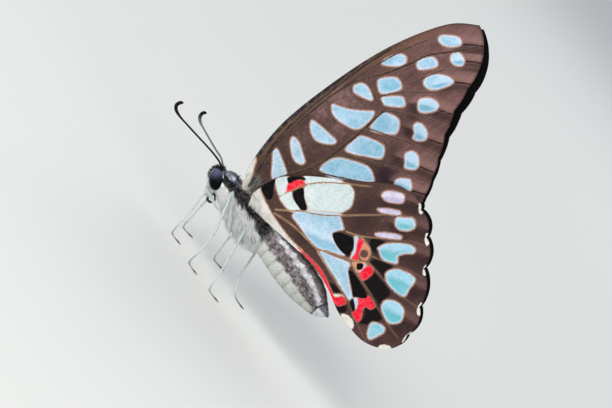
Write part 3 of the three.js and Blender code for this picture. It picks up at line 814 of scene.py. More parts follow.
def veinMesh(name, marks, seen, plan, height, side):
    # the marks' vein lines, laid on the wing as edges with a girth at each point
    points, edges, girths = [], [], []
    for line, width in marks["veins"]:
        path = drawn(line, 7 * len(line))
        distance = ((path[:, None] - seen[None]) ** 2).sum(-1)
        near = np.argpartition(distance, 4, axis=1)[:, :4]
        weight = 1 / (np.take_along_axis(distance, near, 1) + 1e-4)
        weight /= weight.sum(1, keepdims=True)
        y = (height[near] * weight).sum(1) + membrane["halfThickness"]
        x, z = (path + ((plan - seen)[near] * weight[..., None]).sum(1)).T
        taper = np.linspace(1, 0.5, len(path)) * width * marks["girth"]
        kept = np.flatnonzero(distance.min(1) < 0.2)
        edges += [(len(points) + k, len(points) + k + 1) for k in range(len(kept) - 1)]
        points += [(x[k], side * y[k], z[k]) for k in kept]
        girths += [taper[k] * millimetre for k in kept]
    mesh = bpy.data.meshes.new(name)
    mesh.from_pydata(toFrame(points).tolist(), edges, [])
    addField(mesh, "girth", girths)
    return mesh


# the three fold tints are painted light and painted shade: a fold's lit side, its shaded side and its crease
wingTints = tints(
    brown=(76, 55, 49), streaks=(54, 38, 38), mist=(60, 44, 42), dust=(142, 108, 102), cloud=(24, 17, 26),
    haze=(146, 114, 114), foldLight=(158, 122, 114), foldShade=(40, 28, 28), foldLine=(12, 9, 9),
    rim=(40, 28, 26), tan=(108, 78, 56), costa=(34, 30, 34), costaDust=(120, 112, 112), upperSide=(16, 13, 14),
    upperSpot=(128, 190, 176), shadows=(18, 12, 14), peach=(206, 142, 112), discs=(82, 56, 54),
    spotRing=(186, 146, 122), spotBloom=(206, 204, 220), redRing=(214, 120, 110), red=(214, 22, 46),
    redLight=(236, 74, 88), black=(7, 4, 5), blackLight=(44, 32, 34))

# each spot's deep and light tint, and how much painted light from the folds lightens it
spotTints = {
    "blue": ((114, 163, 184), (168, 193, 211), 0.4), "grey": ((138, 170, 184), (190, 206, 216), 0.1),
    "pale": ((180, 194, 194), (208, 214, 211), 0.0), "cream": ((188, 183, 170), (212, 207, 203), 0.0),
    "lilac": ((176, 168, 196), (208, 199, 214), 0.15), "sky": ((134, 173, 194), (178, 199, 212), 0.35),
    "turquoise": ((100, 170, 180), (152, 192, 208), 0.25), "crescents": ((202, 197, 180), (216, 212, 204), 0.0)}
bloomingSpots = ("blue", "turquoise", "sky", "grey")

# each wing's scales also set how strong the painted fold light and the painted crease shade are
foreScales = {
    "spots": ("blue", "grey", "cream"), "outerBrown": (114, 82, 79), "dust": 0.35, "foldLight": 0.28,
    "foldLine": 0.95, "vein": (46, 34, 27), "veinSide": (132, 106, 88), "veinAtMargin": 1}
hindScales = {
    "spots": ("pale", "cream", "lilac", "sky", "turquoise", "crescents"), "outerBrown": (78, 53, 50), "dust": 0.2,
    "foldLight": 0.16, "foldLine": 0.2, "vein": (112, 82, 58), "veinSide": (206, 168, 128), "veinAtMargin": 0.2}


def wingFinish(name, scales):
    f, c = Finish(name, Roughness=0.65, Specular_IOR_Level=0.08), wingTints
    fore = scales is foreScales
    speck = f.noise(4500, 2)
    grainy = f.times(f.maths("SUBTRACT", speck, 0.5), 0.22)
    mist, blotch = f.noise(420, 4), f.noise(1500, 3, roughness=0.7)
    streak = f.noise(1.0, 4, f.place((170, 1, 24), "OFBake"))
    outwards, lift = f.field("outwards"), f.field("lift")
    # painted shade along the crease of each fold, out towards the margin
    foldLine = f.times(f.step(f.field("fold"), 0.2, 0.05), f.step(outwards, 0.45, 0.7))
    grained = lambda key, share=1.0: f.plus(f.field(key), f.times(grainy, share))

    # the ground: brown, darker inwards, streaked and dusted; painted light and painted shade beside the folds
    colour = f.cover(
        f.blend(f.step(outwards, 0.45, 0.95), c["brown"], tint(*scales["outerBrown"])),
        (f.step(streak, 0.35, 0.75, 0, 0.5), c["streaks"]),
        (f.step(mist, 0.4, 0.8, 0, 0.5), c["mist"]),
        (f.step(blotch, 0.5, 0.8, 0, scales["dust"]), c["dust"]),
        (f.times(f.field("cloud"), 0.95), c["cloud"]),
        (f.times(f.field("haze"), f.step(blotch, 0.3, 0.65, 0.25, 0.9)), c["haze"]),
        (f.step(lift, 0.1, 0.9, 0, scales["foldLight"]), c["foldLight"]),
        (f.step(lift, -0.05, -0.8, 0, 0.7), c["foldShade"]),
        (f.times(foldLine, scales["foldLine"]), c["foldLine"]),
        (f.step(f.field("rim"), 0.3, 0.05, 0, 0.45), c["rim"]))
    if fore:  # a tan strip along the dark costa
        costal = grained("costal", 2.0)
        strip = f.times(f.step(costal, 0.85, 0.45), f.step(outwards, 0.85, 0.5, 0.1, 1.0))
        colour = f.cover(
            colour, (f.times(f.step(costal, 1.3, 0.75, 0, 0.6), f.step(outwards, 0.95, 0.75)), c["tan"]),
            (strip, c["costa"]), (f.times(strip, f.step(blotch, 0.45, 0.75, 0, 0.5)), c["costaDust"]))
    else:
        colour = f.cover(colour, (f.step(grained("shadows"), -0.25, 0.2, 0, 1), c["shadows"]),
                         (f.step(grained("peach"), -0.1, 0.12, 0, 0.85), c["peach"]),
                         (f.step(grained("discs"), -0.2, 0.15, 0, 0.95), c["discs"]))

    # spots, each with a warm ring and some with a pale bloom at the edge; the upper side repeats them
    upper = c["upperSide"]
    for kind in scales["spots"]:
        deep, light, lifting = spotTints[kind]
        depth = grained(kind)
        # each spot's tint varies with random mist and blotches, and its lit side at a fold gets painted light
        shade = f.plus(f.plus(f.times(mist, 0.6), f.times(blotch, 0.4)), f.times(lift, lifting))
        spot = f.blend(f.step(shade, 0.3, 0.72), tint(*deep), tint(*light))
        if kind in bloomingSpots:
            spot = f.blend(f.step(depth, 0.4, 0.0, 0, 0.5), spot, c["spotBloom"])
        if kind != "crescents":
            colour = f.blend(f.step(depth, -0.3, -0.06, 0, 0.65), colour, c["spotRing"])
            upper = f.blend(f.step(depth, -0.05, 0.1), upper, c["upperSpot"])
        colour = f.blend(f.step(depth, -0.08, 0.08), colour, spot)
    if not fore:
        red, black = grained("red"), grained("black", 1.5)
        colour = f.cover(
            colour, (f.step(red, -0.2, -0.02, 0, 0.5), c["redRing"]),
            (f.step(red, -0.05, 0.08), f.blend(f.step(blotch, 0.4, 0.75), c["red"], c["redLight"])),
            (f.step(black, -0.05, 0.08), f.blend(f.step(blotch, 0.5, 0.85, 0, 0.5), c["black"], c["blackLight"])))

    vein, fading = grained("vein"), f.step(outwards, 0.5, 0.8, 1, scales["veinAtMargin"])
    colour = f.cover(colour, (f.times(f.step(vein, 0.14, 0.03, 0, 0.3), fading), tint(*scales["veinSide"])),
                     (f.times(f.step(vein, 0.03, -0.03, 0, 0.85), fading), tint(*scales["vein"])))
    colour = f.blend(f.field("under"), upper, colour)
    dust = f.step(speck, 0.25, 0.78, 0.86, 1.1)
    colour = f.blend(1.0, colour, f.node("CombineColor", {0: dust, 1: dust, 2: dust})[0], "MULTIPLY")
    rows = f.node("TexBrick", {"Vector": f.place(uvMap="OFBake"), "Scale": 190.0, "Mortar Size": 0.03,
                               "Mortar Smooth": 0.6, "Brick Width": 0.35, "Row Height": 0.5}, offset=0.5)["Fac"]
    return f.finished(colour, f.plus(f.times(rows, -0.6), speck), 0.00003, 0.55)


def veinFinish(name, deep, light, atMargin=None):
    f = Finish(name, Roughness=0.5, Specular_IOR_Level=0.3)
    colour = f.blend(f.step(f.noise(900, 3), 0.35, 0.65), tint(*deep), tint(*light))
    if atMargin:
        backwards = f.node("SeparateXYZ", {0: f.place()})[0]
        colour = f.blend(f.step(backwards, 0.008, 0.014), colour, tint(*atMargin))
    return f.finished(colour, f.noise(5000, 2), 0.00001, 0.4)


# the root tint is a painted shade for the tufts' roots, where the coat shades itself
hairTints = tints(
    foreBase=(206, 210, 204), foreTeal=(58, 142, 132), hindBase=(230, 228, 222), hindShade=(130, 130, 142),
    root=(70, 66, 64), light=(250, 248, 240))


def foreHair(seen):
    # pale hair at the forewing's root, teal above it
    near = smoothstep(2.6 - np.linalg.norm(seen - (-0.5, 0.2), axis=1), 0, 1.2)
    teal = np.exp(-((seen - (-0.3, 1.2)) ** 2).sum(1) / 0.9)
    return {"fur": near, "furLength": 0.55 + 0.3 * near,
            "tone": mixed(teal, hairTints["foreBase"], hairTints["foreTeal"]),
            "lie": np.tile((0.1, 0, 1.0), (len(seen), 1))}


def hindHair(seen):
    # pale hair at the hindwing's root and along its inner margin, with darker ones between
    x, z = seen.T
    margin = smoothstep(x, 1.5, 3) * smoothstep(11 - x, 0, 2) * smoothstep(0.02 * x - z, -0.3, 0.4) * 0.7
    base = smoothstep(2.2 - np.linalg.norm(seen - (1.0, -0.4), axis=1), 0, 1.2)
    shade = np.random.default_rng(8).random(len(seen)) ** 2
    return {"fur": np.clip(margin + base, 0, 1), "furLength": 0.5 + 0.3 * base,
            "tone": mixed(shade, hairTints["hindBase"], hairTints["hindShade"]),
            "lie": np.tile((1, 0, -0.12), (len(seen), 1))}


def hairFinish():
    f = Finish("coat_hair", Roughness=0.75, Specular_IOR_Level=0.1)
    strandUp = f.node("SeparateXYZ", {0: f.place(uvMap="strand")})[1]
    # painted shade: each tuft darkens towards its root, where the coat shades it
    rootShade = f.step(strandUp, 0.0, 0.6, 0.25, 0.0)
    colour = f.blend(rootShade, f.field("tone", "Color"), hairTints["root"], "MULTIPLY")
    colour = f.blend(f.step(f.noise(2600, 2), 0.35, 0.7, 0, 0.12), colour, hairTints["light"])
    f.tree.links.new(colour, f.shader.inputs["Base Color"])
    return f.material


print("stage: camera and light")
placeCamera()
placeLamps()
placeFloor()

print("stage: wings")
coat, tubes, hairLook = coatTree(), tubeTree(), hairFinish()
tufts = {name: tuftObject(f"{name}_tuft", kind) for name, kind in tuftKinds.items()}
wingHair = {"Tuft": tufts["hair"], "Density": 2.2e7, "Length": 0.0013, "Width": 0.00011, "Lift": 0.12,
            "Wander": 0.14, "Material": hairLook, "Seed": 3}
wings = {
    "forewing": (forewing, forewingMarks, foreHair, wingFinish("forewing_scales", foreScales),
                 veinFinish("forewing_vein", (34, 24, 20), (74, 55, 42))),
    "hindwing": (hindwing, hindwingMarks, hindHair, wingFinish("hindwing_scales", hindScales),
                 veinFinish("hindwing_vein", (110, 86, 62), (170, 140, 108), (98, 70, 60)))}
for label, side in (("left", -1), ("right", 1)):
    for kind, (wing, marks, hair, finish, vein) in wings.items():
        name = f"{kind}_{label}"
        sweep = membrane["farSweep"] if name == "forewing_right" else 0
        mesh, seen, plan, height = wingMesh(f"{name}_skin", wing, marks, side, sweep, hair)
        addPiece(f"{name}_skin", mesh, [name], finish)
        grow(f"{name}_veins", veinMesh(f"{name}_lines", marks, seen, plan, height, side), tubes, "wing_scales",
             Sides=6, Material=vein)
        grow(f"{name}_hair", mesh.copy(), coat, "wing_scales", **wingHair)

faceLean = math.radians(42.5)  # head and eyes lean forwards
head = {"centre": (-4.2, -2.6), "radii": (1.3, 1.3, 1.9)}
eye = {"centre": (-4.2, 1.12, -2.58), "radii": (1.0, 0.85, 1.57), "columns": 72, "rows": 48,
       "rimOut": [0.4, 0.6, 0.8, 0.95, 1.0, 1.03],  # out from the mid plane
       "rimWide": [0.92, 1.02, 1.06, 1.09, 1.07, 0.97]}  # shares of the eye's outline

body = {
    "sections": [  # x, top, bottom, half width, from the neck backwards
        [-3.75, -0.68, -4.3, 1.1], [-3.3, -0.42, -4.25, 1.15], [-2.9, -0.2, -4.2, 1.25], [-2.2, 0.06, -4.5, 1.5],
        [-1.4, 0.28, -4.9, 1.95], [0, 0.55, -5.4, 2.35], [2, 0.7, -6.1, 2.5], [4, 0.55, -6.1, 2.4],
        [5.5, 0.15, -5.6, 2.05], [6.6, -0.25, -4.85, 1.7],
        [9, 0.15, -5.0, 1.85], [12, 0.45, -5.25, 1.95], [15, 0.4, -5.15, 1.85], [17, 0.1, -4.8, 1.65],
        [18.6, -0.55, -4.45, 1.35], [19.7, -1.25, -4.05, 1.0], [20.7, -1.85, -3.1, 0.5], [21.2, -2.2, -2.7, 0.2]],
    "rings": 400, "sides": 144,
    "coatDepth": {"head": 0.12, "thorax": 0.42, "abdomen": 0.1},
    "segments": [6.55, 8.2, 10, 11.8, 13.6, 15.4, 17.1, 18.8], "end": 21,
    "coxae": [(-0.75, 1.1, -5.1, 0.55, 0.5), (2.6, 2, -5.3, 0.75, 0.7), (4.8, 1.5, -5.5, 0.7, 0.5)]}

# markings of the body, drawn as the left side shows them; the stripes' edges are heights at places along the body
bodyMarks = {
    "collar": [[(-4.65, -1.1), (-4.3, -0.7), (-3.2, -0.35), (-2.8, -0.3), (-2.5, -0.5), (-2.6, -0.85),
                (-3.0, -1.15), (-3.95, -1.4)]],
    "shoulder": [[(-2.9, -0.2), (-2.0, 0.6), (-1.1, 0.4), (-0.8, -0.7), (-1.4, -1.2), (-2.1, -1.2), (-3.0, -1.3),
                  (-2.8, -0.7)]],
    "nape": [[(-4.0, -1.55), (-3.0, -1.25), (-2.1, -1.0), (-1.4, -1.1), (-0.6, -0.72), (0.15, -0.35), (0.4, -1.4),
              (-0.55, -2.35), (-1.6, -2.15), (-2.9, -2.4), (-3.6, -2.2)]],
    "whiteTop": [(6, -0.5), (8.4, -0.6), (12.5, -0.55), (14.4, -0.65), (16.1, -0.9), (17.6, -1.35), (19, -1.9)],
    "whiteLow": [(6, -1.2), (8.5, -1.3), (12.4, -1.45), (14.3, -1.5), (16.5, -1.7), (18, -2.3), (18.9, -2.6)],
    "darkTop": [(-3, -1.0), (0, -0.65), (6, -0.8), (8.5, -1.25), (12.4, -1.4), (16.5, -1.7), (18, -2.3),
                (18.9, -2.6)],
    "darkLow": [(-3, -2.2), (0, -2.15), (3.5, -2.2), (5.4, -2.75), (7.9, -3.0), (12.1, -3.05), (14.6, -3.3),
                (17, -3.45), (18.8, -3.4)],
    "lastCrease": [(-2.7, 19.15), (-1.2, 19.55)]}  # height and place of its lower and upper end

bodyTints = tints(
    belly=(203, 204, 197), breast=(252, 252, 250), breastStreak=(200, 208, 216), side=(216, 215, 218),
    sideFleck=(168, 160, 168), flank=(103, 90, 94), back=(62, 54, 57), black=(14, 12, 14), stripe=(76, 64, 64),
    stripeLight=(168, 159, 164), thoraxBack=(50, 52, 60), crease=(128, 124, 112), tail=(45, 49, 63),
    shoulder=(40, 42, 52), shoulderFleck=(124, 132, 150), collar=(150, 160, 178), collarFleck=(224, 228, 234))


def headSections():
    # the leaning head cut straight across, less the depth of its coat
    rx, ry, rz = (radius - body["coatDepth"]["head"] for radius in head["radii"])
    across = math.hypot(rx * math.cos(faceLean), rz * math.sin(faceLean))
    slope = (rx ** 2 - rz ** 2) * math.sin(faceLean) * math.cos(faceLean) / across ** 2
    u = np.array([-0.999, -0.97, -0.9, -0.78, -0.6, -0.35, -0.1, 0.05])
    w = np.sqrt(1 - u * u)
    middle = head["centre"][1] + slope * across * u
    tall = rx * rz / across * w
    return np.column_stack([head["centre"][0] + across * u, middle + tall, middle - tall, ry * w])


def leaning(x, z, centre, radii):
    # shares of the short and the long half axis of a leaning ellipse
    dx, dz = x - centre[0], z - centre[-1]
    return ((dx * math.cos(faceLean) + dz * math.sin(faceLean)) / radii[0],
            (dz * math.cos(faceLean) - dx * math.sin(faceLean)) / radii[-1])


def mottle(shape, cell, seed):
    # soft random patches of 0 to 1, as many rows or columns wide as the cell, closed round the body
    grid = np.random.default_rng(seed).random((shape[0] // cell + 2, shape[1] // cell))
    row, column = np.arange(shape[0]) / cell, np.arange(shape[1]) / cell
    i, j = row.astype(int), column.astype(int)
    u, v = (row - i)[:, None], (column - j)[None]
    pick = lambda a, b: grid[np.ix_(a, b % grid.shape[1])]
    return ((pick(i, j) * (1 - u) + pick(i + 1, j) * u) * (1 - v)
            + (pick(i, j + 1) * (1 - u) + pick(i + 1, j + 1) * u) * v)


def bodyRings():
    # a smooth curve through the sections, read back by x and set in by the coat's depth
    sections = np.vstack([headSections(), body["sections"]])
    place = np.linspace(sections[0, 0], sections[-1, 0], body["rings"])
    dense = drawn(sections, 4000)
    dense[:, 0] = np.maximum.accumulate(dense[:, 0])
    top, bottom, half = (np.interp(place, dense[:, 0], dense[:, k]) for k in (1, 2, 3))
    inset = body["coatDepth"]["thorax"] * smoothstep(place, -3.4, -1.5)
    inset += (body["coatDepth"]["abdomen"] - inset) * smoothstep(place, 5.6, 7.2)
    inset = np.minimum(inset, half * 0.5)
    rise = np.zeros_like(place)  # each segment swells and ends a little higher than the next begins
    for start, end in zip(body["segments"], body["segments"][1:] + [body["end"]]):
        u = (place - start) / (end - start)
        rise = np.where((u >= 0) & (u < 1), 0.05 * np.sin(np.pi * np.clip(u, 0, 1)) ** 0.6 + 0.04 * u, rise)
    inset += (place > 6.4) * (0.08 - rise)
    angle = np.linspace(0, 2 * np.pi, body["sides"], endpoint=False) - np.pi / 2  # the seam lies under the body
    x, angle = np.meshgrid(place, angle, indexing="ij")
    y = (half - inset)[:, None] * np.cos(angle)
    z = ((top + bottom) / 2)[:, None] + ((top - bottom) / 2 - inset)[:, None] * np.sin(angle)
    for cx, cy, cz, radius, height in body["coxae"]:
        for side in (-1, 1):
            bump = height * np.exp(-((x - cx) ** 2 + (y - side * cy) ** 2 + (z - cz) ** 2) / radius ** 2)
            y += bump * 0.25 * side
            z -= bump
    return x, y, z


def bodyFields(x, y, z):
    # places as seen from the left, where the stripes are drawn, and their waves and steps
    seenX, seenZ = x - viewSlope[0] * np.abs(y), z - viewSlope[1] * np.abs(y)
    wave = (0.12 * np.sin(3.1 * seenX + 1.2) + 0.08 * np.sin(7.7 * seenX + 2 * seenZ)
            + 0.05 * np.sin(15 * seenX - 4 * seenZ))
    starts = np.array(body["segments"] + [body["end"]])
    part = np.clip(np.searchsorted(starts, seenX + 0.2) - 1, 0, len(starts) - 2)
    step = np.clip((seenX + 0.2 - starts[part]) / (starts[part + 1] - starts[part]), 0, 1) - 0.5
    ragged = seenZ + wave * (1 - 0.4 * smoothstep(x, 5.8, 7.2)) - 0.28 * step * smoothstep(x, 6.6, 8)
    whiteTop, whiteLow, darkTop, darkLow = (
        np.interp(seenX, *zip(*bodyMarks[key])) for key in ("whiteTop", "whiteLow", "darkTop", "darkLow"))
    fine, coarse, streak, fleck, speckle = (
        mottle(x.shape, cell, seed) for cell, seed in ((2, 3), (5, 4), (4, 5), (3, 1), (2, 2)))

    # parts of the body
    abdomen = smoothstep(x, 5.8, 7.2)
    behindHead = smoothstep(x, -3.1, -2.4)
    thorax, headShare = 1 - abdomen, 1 - behindHead
    lateral = (smoothstep(ragged, darkLow - 0.25, darkLow + 0.15)
               * smoothstep(ragged, darkTop + 0.2, darkTop - 0.15))
    stripeLight = smoothstep(fine * 0.6 + coarse * 0.6, 0.45, 1.05)
    crease = np.exp(-((((seenX[..., None] - np.array(body["segments"])) / 0.14) ** 2).min(-1)))
    (lowZ, lowX), (highZ, highX) = bodyMarks["lastCrease"]
    lastCrease = lowX + (highX - lowX) * smoothstep(seenZ, lowZ, highZ)
    behind = smoothstep(seenX, lastCrease, lastCrease + 0.15)
    short, long = leaning(x, z, head["centre"], head["radii"])
    seen = np.column_stack([seenX.ravel(), (seenZ + 0.3 * (fleck - 0.5)).ravel()])
    nape, collar, shoulder = (smoothstep(patches(seen, bodyMarks[key]), -0.1, 0.1).reshape(x.shape)
                              for key in ("nape", "collar", "shoulder"))
    ridge = (smoothstep(0.42 - np.abs(y), 0, 0.2) * smoothstep(x, -5.0, -4.5) * smoothstep(x, -1.3, -2.0)
             * smoothstep(z, -1.9, -1.3))

    # white below with a dark stripe along each flank, a white line above it and a dark back; black crown, face
    # and nape, grey-blue shoulders and a blue-white collar
    c = bodyTints
    tone = np.broadcast_to(c["belly"], x.shape + (4,))
    for colour, mask in (
            (c["breast"], thorax),
            (c["breastStreak"], thorax * smoothstep(streak, 0.5, 0.9) * 0.4),
            (c["side"], abdomen * smoothstep(ragged, whiteLow - 0.25, whiteLow + 0.1)),
            (c["sideFleck"], abdomen * smoothstep(fine + coarse, 0.8, 1.4)
             * smoothstep(ragged, whiteLow - 0.2, whiteLow) * 0.75),
            (c["flank"], abdomen * smoothstep(ragged + 0.3 * (fine - 0.5), whiteTop - 0.12, whiteTop + 0.15)),
            (c["back"], abdomen * smoothstep(ragged, whiteTop + 0.1, whiteTop + 0.9)),
            (c["black"], lateral * behindHead * thorax),
            (mixed(stripeLight, c["stripe"], c["stripeLight"]), lateral * abdomen),
            (c["thoraxBack"], thorax * behindHead * smoothstep(z, -0.4, 0.3)
             * smoothstep(-np.abs(y), -1.3, -0.6)),
            (c["crease"], abdomen * crease * 0.5 * (1 - lateral)),
            (c["tail"], behind * smoothstep(seenZ, -2.75, -2.45) * (1 - 0.35 * fine)),
            (c["side"], behind * smoothstep(seenZ, -2.5, -2.9)),
            (c["black"], np.clip(1.6 * np.exp(-((seenX - lastCrease) / 0.12) ** 2), 0, 1) * abdomen),
            (c["black"], headShare * smoothstep(long + 0.12 * wave, -0.2, 0.0)),
            (c["shoulder"], shoulder),
            (c["shoulderFleck"], shoulder * smoothstep(speckle, 0.4, 0.85) * 0.8),
            (c["black"], nape * (1 - 0.3 * smoothstep(fleck, 0.7, 0.9))),
            (c["collar"], collar),
            (c["collarFleck"], collar * smoothstep(speckle + 0.3 * smoothstep(seenX, -3.4, -2.6), 0.4, 0.8)),
            (c["black"], ridge)):
        tone = mixed(mask, tone, colour)

    # the coat lies backwards, droops on the breast, hangs from the throat and stands up on the crown and nape
    upward = smoothstep(seenZ, -1.4, -0.3) * smoothstep(x, -2.5, -0.5) * smoothstep(x, 6.5, 4)
    crown = headShare * np.clip(smoothstep(long, 0.15, 0.6) + smoothstep(short, -0.55, -0.9), 0, 1)
    throat = np.exp(-((x + 2.6) / 0.5) ** 2) * smoothstep(z, -3.9, -4.4)
    eyeAway = np.hypot(*leaning(x, z, eye["centre"], eye["radii"]))
    standing = 1 - 0.85 * np.clip(crown + ridge, 0, 1)
    droop = 0.35 * thorax * (1 - upward) * behindHead
    lie = np.stack([standing - 0.2 * crown - 1.3 * throat, np.zeros(x.shape),
                    (0.4 * upward - droop) * standing + 0.15 * crown + 0.2 * ridge - 0.9 * throat], -1)
    length = 0.3 + 0.7 * smoothstep(x, -3, -1.4) * thorax * (1 - 0.45 * upward)
    length = np.where(x < -3.2, 0.26 + 0.46 * crown, length) * (1 - 0.55 * abdomen * smoothstep(x, 17, 21))
    length = np.maximum(length * (1 - ridge) + 0.5 * ridge, 0.95 * throat)
    length *= 1 - 0.75 * (x < -3) * smoothstep(np.abs(y), 0.45, 0.75) * smoothstep(eyeAway, 1.45, 0.95)
    return {"tone": tone, "lie": lie, "furLength": length, "furThorax": thorax * smoothstep(x, -2.9, -2.4),
            "furHead": smoothstep(x, -2.2, -2.8) * (eyeAway > 1.08), "furAbdomen": smoothstep(x, 5.9, 6.6)}


def withFur(mesh, key):
    # a copy of the skin whose coat grows where the named field says
    copy = mesh.copy()
    values = np.zeros(len(copy.vertices), np.float32)
    copy.attributes[key].data.foreach_get("value", values)
    addField(copy, "fur", values)
    return copy


def skinFinish():
    f = Finish("body_skin", Roughness=0.8, Specular_IOR_Level=0.2)
    colour = f.blend(f.step(f.noise(1500, 3), 0.3, 0.75, 1.0, 0.72), (0, 0, 0, 1), f.field("tone", "Color"))
    return f.finished(colour, f.noise(6000, 3), 0.00004, 0.7)


bodyCoats = {
    "thorax_coat": ("furThorax", "body_fur", {"Tuft": tufts["fur"], "Density": 2.3e7, "Length": 0.0014,
                                              "Width": 0.00019, "Lift": 0.55, "Wander": 0.35, "Seed": 5}),
    "head_coat": ("furHead", "head_fur", {"Tuft": tufts["fur"], "Density": 7.5e7, "Length": 0.0010,
                                          "Width": 0.0001, "Lift": 0.4, "Wander": 0.25, "Seed": 6}),
    "abdomen_coat": ("furAbdomen", "body_fur", {"Tuft": tufts["scale"], "Density": 4.2e7, "Length": 0.0011,
                                                "Width": 0.00007, "Lift": 0.22, "Wander": 0.1, "Seed": 7})}

print("stage: body")
skinLook = skinFinish()
bodyPlaces = bodyRings()
bodySkin = addLoft("body_skin", np.stack(bodyPlaces, -1), "body_fur",
                   ["head", "prothorax", "thorax"] + [f"abdomen_segment_{k}" for k in range(1, 9)], skinLook,
                   **bodyFields(*bodyPlaces))
for name, (field, slot, settings) in bodyCoats.items():
    grow(name, withFur(bodySkin, field), coat, slot, Material=hairLook, **settings)

palpus = {"path": [(-3.1, 0.42, -4.3), (-3.6, 0.48, -4.45), (-4.15, 0.48, -4.25), (-4.66, 0.42, -3.84)],
          "radius": 0.21, "rings": 40, "sides": 16,
          "coat": {"Tuft": tufts["fur"], "Density": 1.4e8, "Length": 0.0004, "Width": 0.00008, "Lift": 0.4,
                   "Wander": 0.2, "Seed": 9}}
proboscis = {"centre": (-2.85, -5.2), "innerRadius": 0.24, "pitch": 0.54, "turns": 1.13, "radius": 0.2,
             "rings": 160, "sides": 14}
antenna = {
    "left": [(-4.9, -0.5, -1.2), (-5.6, -1, -0.65), (-7.05, -1.9, -0.3), (-11.65, -4.7, 0.05), (-13.8, -5.8, 0.2),
             (-14.7, -6.3, 0.5), (-15.1, -6.6, 1.05), (-14.95, -6.8, 1.75), (-14.6, -6.9, 2.1)],
    "right": [(-4.9, 0.5, -1.2), (-6.3, 1.2, -0.65), (-8.2, 2.3, -0.7), (-12.1, 5, -0.85), (-13.4, 5.9, -0.8),
              (-14.05, 6.4, -0.4), (-14.15, 6.7, 0.15), (-13.8, 6.9, 0.5)],
    "radius": 0.13, "clubRadius": 0.245, "segments": 38, "ringsPerSegment": 6, "sides": 14}

# the eye's sheen tint is a painted reflection on the eye's upper half
headTints = tints(
    eyeDark=(5, 5, 7), eyeSheen=(80, 82, 106), rimWhite=(222, 226, 226), rimDark=(24, 22, 27),
    antennaPale=(104, 112, 114), antennaBlack=(9, 8, 9), antennaFleck=(22, 20, 22), palpusWhite=(222, 226, 224),
    palpusTip=(60, 58, 62), horn=(11, 10, 11), hornLight=(30, 25, 25))


def headings(path):
    return unit(np.gradient(path, axis=0))


def tubeRings(path, radii, sides):
    # rings round a path, carried along it without twisting
    path = np.asarray(path, float)
    along = headings(path)
    normal = unit(np.cross(along[0], (0.31, 0.17, 0.93)))
    angle = np.linspace(0, 2 * np.pi, sides, endpoint=False)
    rings = []
    for point, direction, radius in zip(path, along, radii):
        normal = unit(normal - direction * (normal @ direction))
        across = np.cross(direction, normal)
        rings.append(point + radius * (np.outer(np.cos(angle), normal) + np.outer(np.sin(angle), across)))
    return np.array(rings)


def centripetal(points, count):
    # the curve that the solids of legs and feelers follow
    p = np.asarray(points, float)
    p = np.vstack([2 * p[0] - p[1], p, 2 * p[-1] - p[-2]])
    dense = []
    for a, b, c, d in zip(p, p[1:], p[2:], p[3:]):
        knots = np.cumsum([0] + [np.linalg.norm(w - v) ** 0.5 for v, w in ((a, b), (b, c), (c, d))])
        u = np.linspace(knots[1], knots[2], curveSteps["limb"], endpoint=False)[:, None]

        def between(low, high, first, second):
            share = (u - knots[low]) / (knots[high] - knots[low])
            return first * (1 - share) + second * share

        ab, bc, cd = between(0, 1, a, b), between(1, 2, b, c), between(2, 3, c, d)
        dense.append(between(1, 2, between(0, 2, ab, bc), between(1, 3, bc, cd)))
    return byLength(np.vstack([*dense, p[-2:-1]]))(np.linspace(0, 1, count))


def eyeFinish():
    # black facets with a painted blue-grey sheen, a painted reflection, on the upper half
    f = Finish("eye_facets", Roughness=0.22, Specular_IOR_Level=0.06, Coat_Weight=0.02, Coat_Roughness=0.08)
    upwards = (-math.sin(faceLean), 0, math.cos(faceLean))
    height = f.node("VectorMath", {0: f.place((1000, 1000, 1000)), 1: upwards}, operation="DOT_PRODUCT")["Value"]
    middle = float(np.dot(toFrame((eye["centre"][0], 0, eye["centre"][2])) / millimetre, upwards))
    sheen = f.times(f.step(height, middle - 0.3, middle + 1.6), f.step(f.noise(1200, 3), 0.1, 0.7, 0.5, 1.0))
    facets = f.node("TexVoronoi", {"Vector": f.place(), "Scale": 16000.0})["Distance"]
    return f.finished(f.blend(sheen, headTints["eyeDark"], headTints["eyeSheen"]), facets, 0.00001, 0.4)


def antennaFinish():
    f = Finish("antenna_scales", Roughness=0.6, Specular_IOR_Level=0.12)
    fleck = f.step(f.noise(6000, 2), 0.4, 0.7, 0, 0.4)
    colour = f.blend(fleck, f.field("tone", "Color"), headTints["antennaFleck"])
    return f.finished(colour, f.noise(9000, 2), 0.00002, 0.6)


def hornFinish():
    f = Finish("proboscis_horn", Roughness=0.45, Specular_IOR_Level=0.3)
    colour = f.blend(f.step(f.noise(2500, 3), 0.35, 0.7), headTints["horn"], headTints["hornLight"])
    return f.finished(colour, f.noise(9000, 2), 0.00002, 0.6)


def aroundEye(short, long, y):
    # points from their distances along the short and the long way of the leaning eye
    x, _, z = eye["centre"]
    return np.stack([x + short * math.cos(faceLean) - long * math.sin(faceLean), y,
                     z + long * math.cos(faceLean) + short * math.sin(faceLean)], -1)


